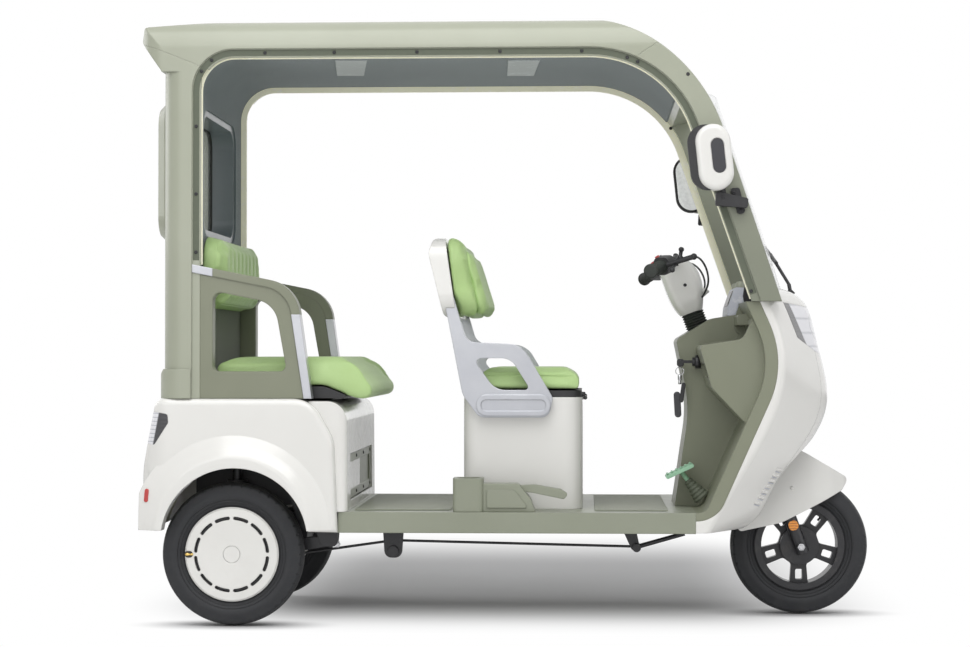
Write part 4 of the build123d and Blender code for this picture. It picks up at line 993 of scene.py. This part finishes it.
def addIgnition():
    lock, ring = Vector(ignition["lock"]), Vector(ignition["ring"])
    near = (0, -1, 0)
    lathe("ignitionLock", ignition["barrel"], facing(lock, (-1, 0, 0)), "body", satinBlack, 32)
    spot = facing(lock + Vector(ignition["key"]), near)
    shape = roundedBox(*ignition["keySize"]), 0.0024, 0.0006
    slab("ignitionKey", *shape, spot, "body", blackGrain, "black_plastic")
    spot = facing(lock + Vector(ignition["head"]), near)
    shape = roundedBox(*ignition["headSize"]), 0.0060, 0.0022
    slab("keyHead", *shape, spot, "body", blackGrain, "black_plastic")
    loop = []
    for i in range(ignition["ringPoints"]):
        turn = math.tau * i / ignition["ringPoints"]
        x, y = ignition["ringRadius"] * math.cos(turn), ignition["ringWave"] * math.sin(2 * turn)
        loop.append(ring + Vector((x, y, ignition["ringRadius"] * math.sin(turn) - ignition["ringDrop"])))
    cordAlong("keyRing", loop, ignition["ringWire"], "body", steel, closed=True)
    spot = facing(ring + Vector(ignition["swivelDrop"]), (0, 0, -1), (1, 0, 0))
    lathe("keySwivel", ignition["swivel"], spot, "body", steel, 24)
    for name, offset, length, width, lean, finish in ignition["hanging"]:
        up = Vector((math.sin(math.radians(lean)), 0, math.cos(math.radians(lean))))
        spot = facing(ring + Vector(offset), near, up)
        slab(name, stadium(length, width), 0.0045, 0.0018, spot, "body", finish, "black_plastic")
    print("ignition set")


# left end of the handlebar, mirrored for the right; profiles are (radius, height)
bar = {
    "grip": ((0.420, 0.345, 1.062), (0.466, 0.200, 1.086)),
    "sleeveStart": [(0.0172, -0.006), (0.0215, -0.005), (0.0215, 0.0), (0.0180, 0.003)],
    "ribCount": 14, "ribFirst": 0.007, "ribPitch": 0.0072,
    "rib": [(0.0176, 0.0), (0.0190, 0.0018), (0.0190, 0.0046), (0.0176, 0.0062)],
    "sleeveEnd": [(0.0176, 0.108), (0.0225, 0.109), (0.0225, 0.1125), (0.0172, 0.1135)],
    "podReach": 0.147, "podOut": (-0.55, 0, 0.83), "podRadius": 0.0255, "switchSize": (0.013, 0.016, 0.004),
    # name, place along the bar, finish, height
    "switches": [("redSwitch", -0.012, redKnob, 0.010), ("hornSwitch", 0.012, satinBlack, 0.007)],
    "post": (0.512, 0.205, 1.100), "postWay": (0.15, 0, 1),
    "stalk": [
        (0.0090, 0.0), (0.0090, 0.012), (0.0060, 0.015), (0.0060, 0.028), (0.0085, 0.030), (0.0085, 0.036),
        (0.0050, 0.040), (0.0001, 0.041),
    ],
    "cable": [
        (0.548, 0.262, 1.108), (0.566, 0.225, 1.112), (0.592, 0.160, 1.088), (0.606, 0.108, 1.052),
        (0.604, 0.078, 1.018), (0.588, 0.058, 0.990),
    ],
    "cableRadius": 0.0032,
    "screwPixel": (685.0, 285.0),
}


def addBarDetails():
    rings = list(bar["sleeveStart"])
    for i in range(bar["ribCount"]):
        rings += [(radius, bar["ribFirst"] + i * bar["ribPitch"] + rise) for radius, rise in bar["rib"]]
    rings += bar["sleeveEnd"]
    out = Vector(bar["podOut"])
    for side in (-1, 1):
        mark = sideName[side]
        tip, bend = [onSide(place, side) for place in bar["grip"]]
        way = (bend - tip).normalized()
        lathe(f"gripSleeve{mark}", rings, facing(tip, way), "steered", bellows, 28)
        pod = tip + way * bar["podReach"]
        for name, along, finish, height in bar["switches"]:
            spot = facing(pod + way * along + out * bar["podRadius"], out, way)
            shape = roundedBox(*bar["switchSize"]), height, 0.003
            slab(f"{name}{mark}", *shape, spot, "steered", finish, "black_plastic")
        spot = facing(onSide(bar["post"], side), bar["postWay"])
        lathe(f"leverStalk{mark}", bar["stalk"], spot, "steered", satinBlack, 20)
        cable = [onSide(place, side) for place in bar["cable"]]
        freeCable(f"brakeCable{mark}", cable, bar["cableRadius"], "steered")
    for place, normal, side in bothSides(seenAt(*bar["screwPixel"])):
        addScrew(f"housingScrew{sideName[side]}", place, normal, "steered")
    print("handlebar dressed")


# cheek is a side of the pod as x and z about cheekPlace
dash = {
    "screen": (0.6735, 0, 0.986), "lean": (-0.940, 0, 0.334), "bezelSize": (0.196, 0.050, 0.016),
    "screenSize": (0.172, 0.036, 0.008), "cheekPlace": (0.684, 0.1195, 0.982),
    "cheek": [(0.034, -0.036), (0.050, -0.036), (0.053, 0.012), (0.040, 0.040), (0.030, 0.036), (0.026, 0.010)],
    "knobPlace": (0.703, 0.098, 1.018), "knobWay": (0.05, 0, 1),
    "knob": [(0.012, -0.004), (0.013, 0.004), (0.0125, 0.014), (0.010, 0.019), (0.0001, 0.021)],
    "lampPlace": (0.7405, 0.4052, 0.915), "lampSize": (0.010, 0.014, 0.003),
}


def addDash():
    spot = facing(dash["screen"], dash["lean"])
    slab("dashBezel", roundedBox(*dash["bezelSize"]), 0.0012, 0.0006, spot, "body", darkGloss, "black_plastic")
    slab("dashScreen", roundedBox(*dash["screenSize"]), 0.0018, 0.0004, spot, "body", darkGloss, "glass")
    for side in (-1, 1):
        spot = facing(onSide(dash["cheekPlace"], side), (0, side, 0))
        shape = [(-side * x, z) for x, z in dash["cheek"]], 0.0030, 0.0012
        slab(f"podCheek{sideName[side]}", *shape, spot, "body", satinBlack, "black_plastic")
    for side in (-1, 1):
        spot = facing(onSide(dash["knobPlace"], side), dash["knobWay"])
        lathe(f"dashKnob{sideName[side]}", dash["knob"], spot, "body", sage, 28)
        spot = facing(onSide(dash["lampPlace"], side), (0, side, 0))
        shape = roundedBox(*dash["lampSize"]), 0.0022, 0.001
        slab(f"dashLamp{sideName[side]}", *shape, spot, "body", redKnob, "lamp_red")
    print("dash dressed")


# pads in the roof lining, corners in pixels of the photograph
ceilingPads = [[(335, 60), (367, 60), (364, 75), (337, 75)], [(508, 60), (540, 60), (534, 75), (507, 75)]]


def addCeilingPads():
    for i, corners in enumerate(ceilingPads):
        found = [seenAt(*pixel) for pixel in corners]
        if not all(found):
            continue
        middle = sum((place for place, normal in found), Vector()) / len(found)
        down = sum((normal for place, normal in found), Vector()).normalized()
        spot = facing(middle, down, (0, 1, 0))
        points = [(spot.inverted() @ place)[:2] for place, normal in found]
        slab(f"ceilingPad{i}", points, 0.0030, 0.0015, spot, "body", paleGrey, "liner")
    print("ceiling pads set")


# plate and screws on the front face of the rear body
hatch = {
    "platePlace": (-0.4960, -0.150, 0.440), "plate": (0.34, 0.104, 0.006), "screwX": -0.4918,
    "screwY": (-0.312, -0.105, 0.105, 0.312), "screwRows": {"Low": 0.387, "High": 0.497},
}


def addHatch():
    front = (1, 0, 0)
    spot = facing(hatch["platePlace"], front)
    slab("hatchPlate", roundedBox(*hatch["plate"]), 0.0020, 0.0008, spot, "body", white, "white_panel")
    for i, y in enumerate(hatch["screwY"]):
        for row, z in hatch["screwRows"].items():
            addScrew(f"hatchScrew{row}{i}", (hatch["screwX"], y, z), front, "body")
    print("hatch dressed")


# rubber along the windscreen's sides and round the rear window
seals = {
    "screenLow": (0.789, 0.3835, 1.0), "screenHigh": (0.638, 0.3835, 1.450), "screenRadius": 0.0045, "steps": 8,
    "window": (0.570, 0.350, 0.060, 8), "windowZ": 1.370, "windowRadius": 0.0042,
    "windowX": {"Outer": -1.0235, "Inner": -1.0185},
}


def addSeals():
    for side in (-1, 1):
        low, high = onSide(seals["screenLow"], side), onSide(seals["screenHigh"], side)
        line = [low.lerp(high, i / seals["steps"]) for i in range(seals["steps"] + 1)]
        cordAlong(f"screenSeal{sideName[side]}", line, seals["screenRadius"], "body", bellows)
    for edge, x in seals["windowX"].items():
        line = [Vector((x, y, seals["windowZ"] + z)) for y, z in roundedBox(*seals["window"])]
        radius = seals["windowRadius"]
        cordAlong(f"windowSeal{edge}", line, radius, "body", bellows, closed=True)
    print("seals laid")


pedal = {
    "ribs": 6, "low": (0.467, -0.190, 0.4425), "high": (0.550, -0.190, 0.4815), "normal": (-0.424, 0, 0.906),
    "rib": (0.062, 0.006),
}


def addPedalTread():
    for i in range(pedal["ribs"]):
        place = Vector(pedal["low"]).lerp(Vector(pedal["high"]), (i + 0.5) / pedal["ribs"])
        spot = facing(place, pedal["normal"], (0, 1, 0))
        slab(f"pedalRib{i}", stadium(*pedal["rib"]), 0.0022, 0.001, spot, "body", mint, "mint_rubber")
    print("pedal ribbed")


addDoorStrips()
addScrews()
addDeckGrooves()
addMirrorTrim()
addWheelTrim()
addLouvres()
addIgnition()
addBarDetails()
addDash()
addCeilingPads()
addHatch()
addSeals()
addPedalTread()

# pale floor that fades into white round the shadow, soft light from above and from the sides
studio = {
    "floorSize": 60.0, "floorColour": (0.96, 0.96, 0.96), "floorSpeck": (0.9456, 0.9456, 0.9456),
    "floorSeen": (0.54, 0.54, 0.545),
    # where the shadow begins to fade, and over what distance
    "shadowX": (0.55, 0.75), "shadowNear": (0.25, 0.85), "shadowFar": (1.5, 1.5),
    "tyreSpots": [(-0.831, -0.385), (0.891, 0.0)], "tyreReach": (0.34, 0.15),
    "worldStrength": 0.46,
    "lights": [
        # name, place, aim, size, watts
        ("overhead", (0.1, -2.6, 4.8), (0, 0, 0.9), 4.5, 160),
        ("nearSide", (-2.0, -6.5, 2.6), (0, 0, 0.8), 4.0, 56),
        ("front", (5.5, -2.5, 2.4), (0.4, 0, 0.8), 3.0, 24),
        ("rear", (-5.0, 1.5, 2.8), (-0.5, 0, 0.8), 3.0, 44),
    ],
}


def floorFinish():
    # the camera sees the shadow on a darker floor, and white away from it
    make = Finish("paleFloor", Roughness=0.7, Specular_IOR_Level=0.2)
    x, y, z = make.axes()
    shade = make.blend(make.ramp(make.noise(60, 3), 0.3, 0.7), studio["floorColour"], studio["floorSpeck"])
    seen = make.node("ShaderNodeLightPath", out="Is Camera Ray")
    make.feed({"Base Color": make.blend(seen, shade, studio["floorSeen"])})
    glow = make.node("ShaderNodeEmission", values={"Color": (1, 1, 1, 1)})
    out = [
        (make.magnitude(x) - studio["shadowX"][0]) / studio["shadowX"][1],
        (studio["shadowNear"][0] - y) / studio["shadowNear"][1],
        (y - studio["shadowFar"][0]) / studio["shadowFar"][1],
    ]
    out = [make.node("ShaderNodeMath", {"operation": "MAXIMUM"}, {0: way, 1: 0.0}) for way in out]
    far = make.ramp((out[0] ** 2 + out[1] ** 2 + out[2] ** 2) ** 0.5, 0.0, 1.0)
    for px, py in studio["tyreSpots"]:
        dx, dy = (x - px) / studio["tyreReach"][0], (y - py) / studio["tyreReach"][1]
        far = far * make.ramp((dx * dx + dy * dy) ** 0.5, 0.2, 1.0)
    lit = Wire(make, make.shader.outputs[0])
    mixed = make.node("ShaderNodeMixShader", values={0: far * seen, 1: lit, 2: glow})
    make.tree.links.new(mixed.socket, make.tree.nodes["Material Output"].inputs["Surface"])
    return make.material


def buildFloor():
    half = studio["floorSize"] / 2
    corners = [(-half, -half, 0), (half, -half, 0), (half, half, 0), (-half, half, 0)]
    mesh = bpy.data.meshes.new("studioFloor")
    mesh.from_pydata(corners, [], [(0, 1, 2, 3)])
    floor = bpy.data.objects.new("studioFloor", mesh)
    bpy.context.scene.collection.objects.link(floor)
    dress(floor, floorFinish())


def buildWorld():
    # white to the camera, in reflections and through glass, dimmer as a light
    world = bpy.data.worlds.new("studioWorld")
    bpy.context.scene.world = world
    world.use_nodes = True
    tree = world.node_tree
    back = tree.nodes["Background"]
    back.inputs["Color"].default_value = (1, 1, 1, 1)
    path = tree.nodes.new("ShaderNodeLightPath")
    seen = path.outputs["Is Camera Ray"]
    for ray in ("Is Glossy Ray", "Is Transmission Ray"):
        join = tree.nodes.new("ShaderNodeMath")
        join.operation = "MAXIMUM"
        tree.links.new(seen, join.inputs[0])
        tree.links.new(path.outputs[ray], join.inputs[1])
        seen = join.outputs[0]
    strength = tree.nodes.new("ShaderNodeMapRange")
    strength.inputs["To Min"].default_value = studio["worldStrength"]
    strength.inputs["To Max"].default_value = 1.0
    tree.links.new(seen, strength.inputs["Value"])
    tree.links.new(strength.outputs[0], back.inputs["Strength"])


def buildLights():
    for name, place, aim, size, watts in studio["lights"]:
        data = bpy.data.lights.new(name, "AREA")
        data.size = size
        data.energy = watts
        lamp = bpy.data.objects.new(name, data)
        lamp.location = place
        lamp.rotation_euler = (Vector(aim) - Vector(place)).to_track_quat("-Z", "Y").to_euler()
        bpy.context.scene.collection.objects.link(lamp)


def buildCamera():
    data = bpy.data.cameras.new("photoCamera")
    data.sensor_width = camera["sensor"]
    data.lens = camera["sensor"] * camera["focalPixels"] / camera["imageWidth"]
    seat = bpy.data.objects.new("photoCamera", data)
    seat.location = camera["place"]
    seat.rotation_euler = cameraTurn
    bpy.context.scene.collection.objects.link(seat)
    bpy.context.scene.camera = seat


buildFloor()
buildWorld()
buildLights()
buildCamera()
bpy.context.scene.view_settings.view_transform = "Standard"
print("studio and camera set")
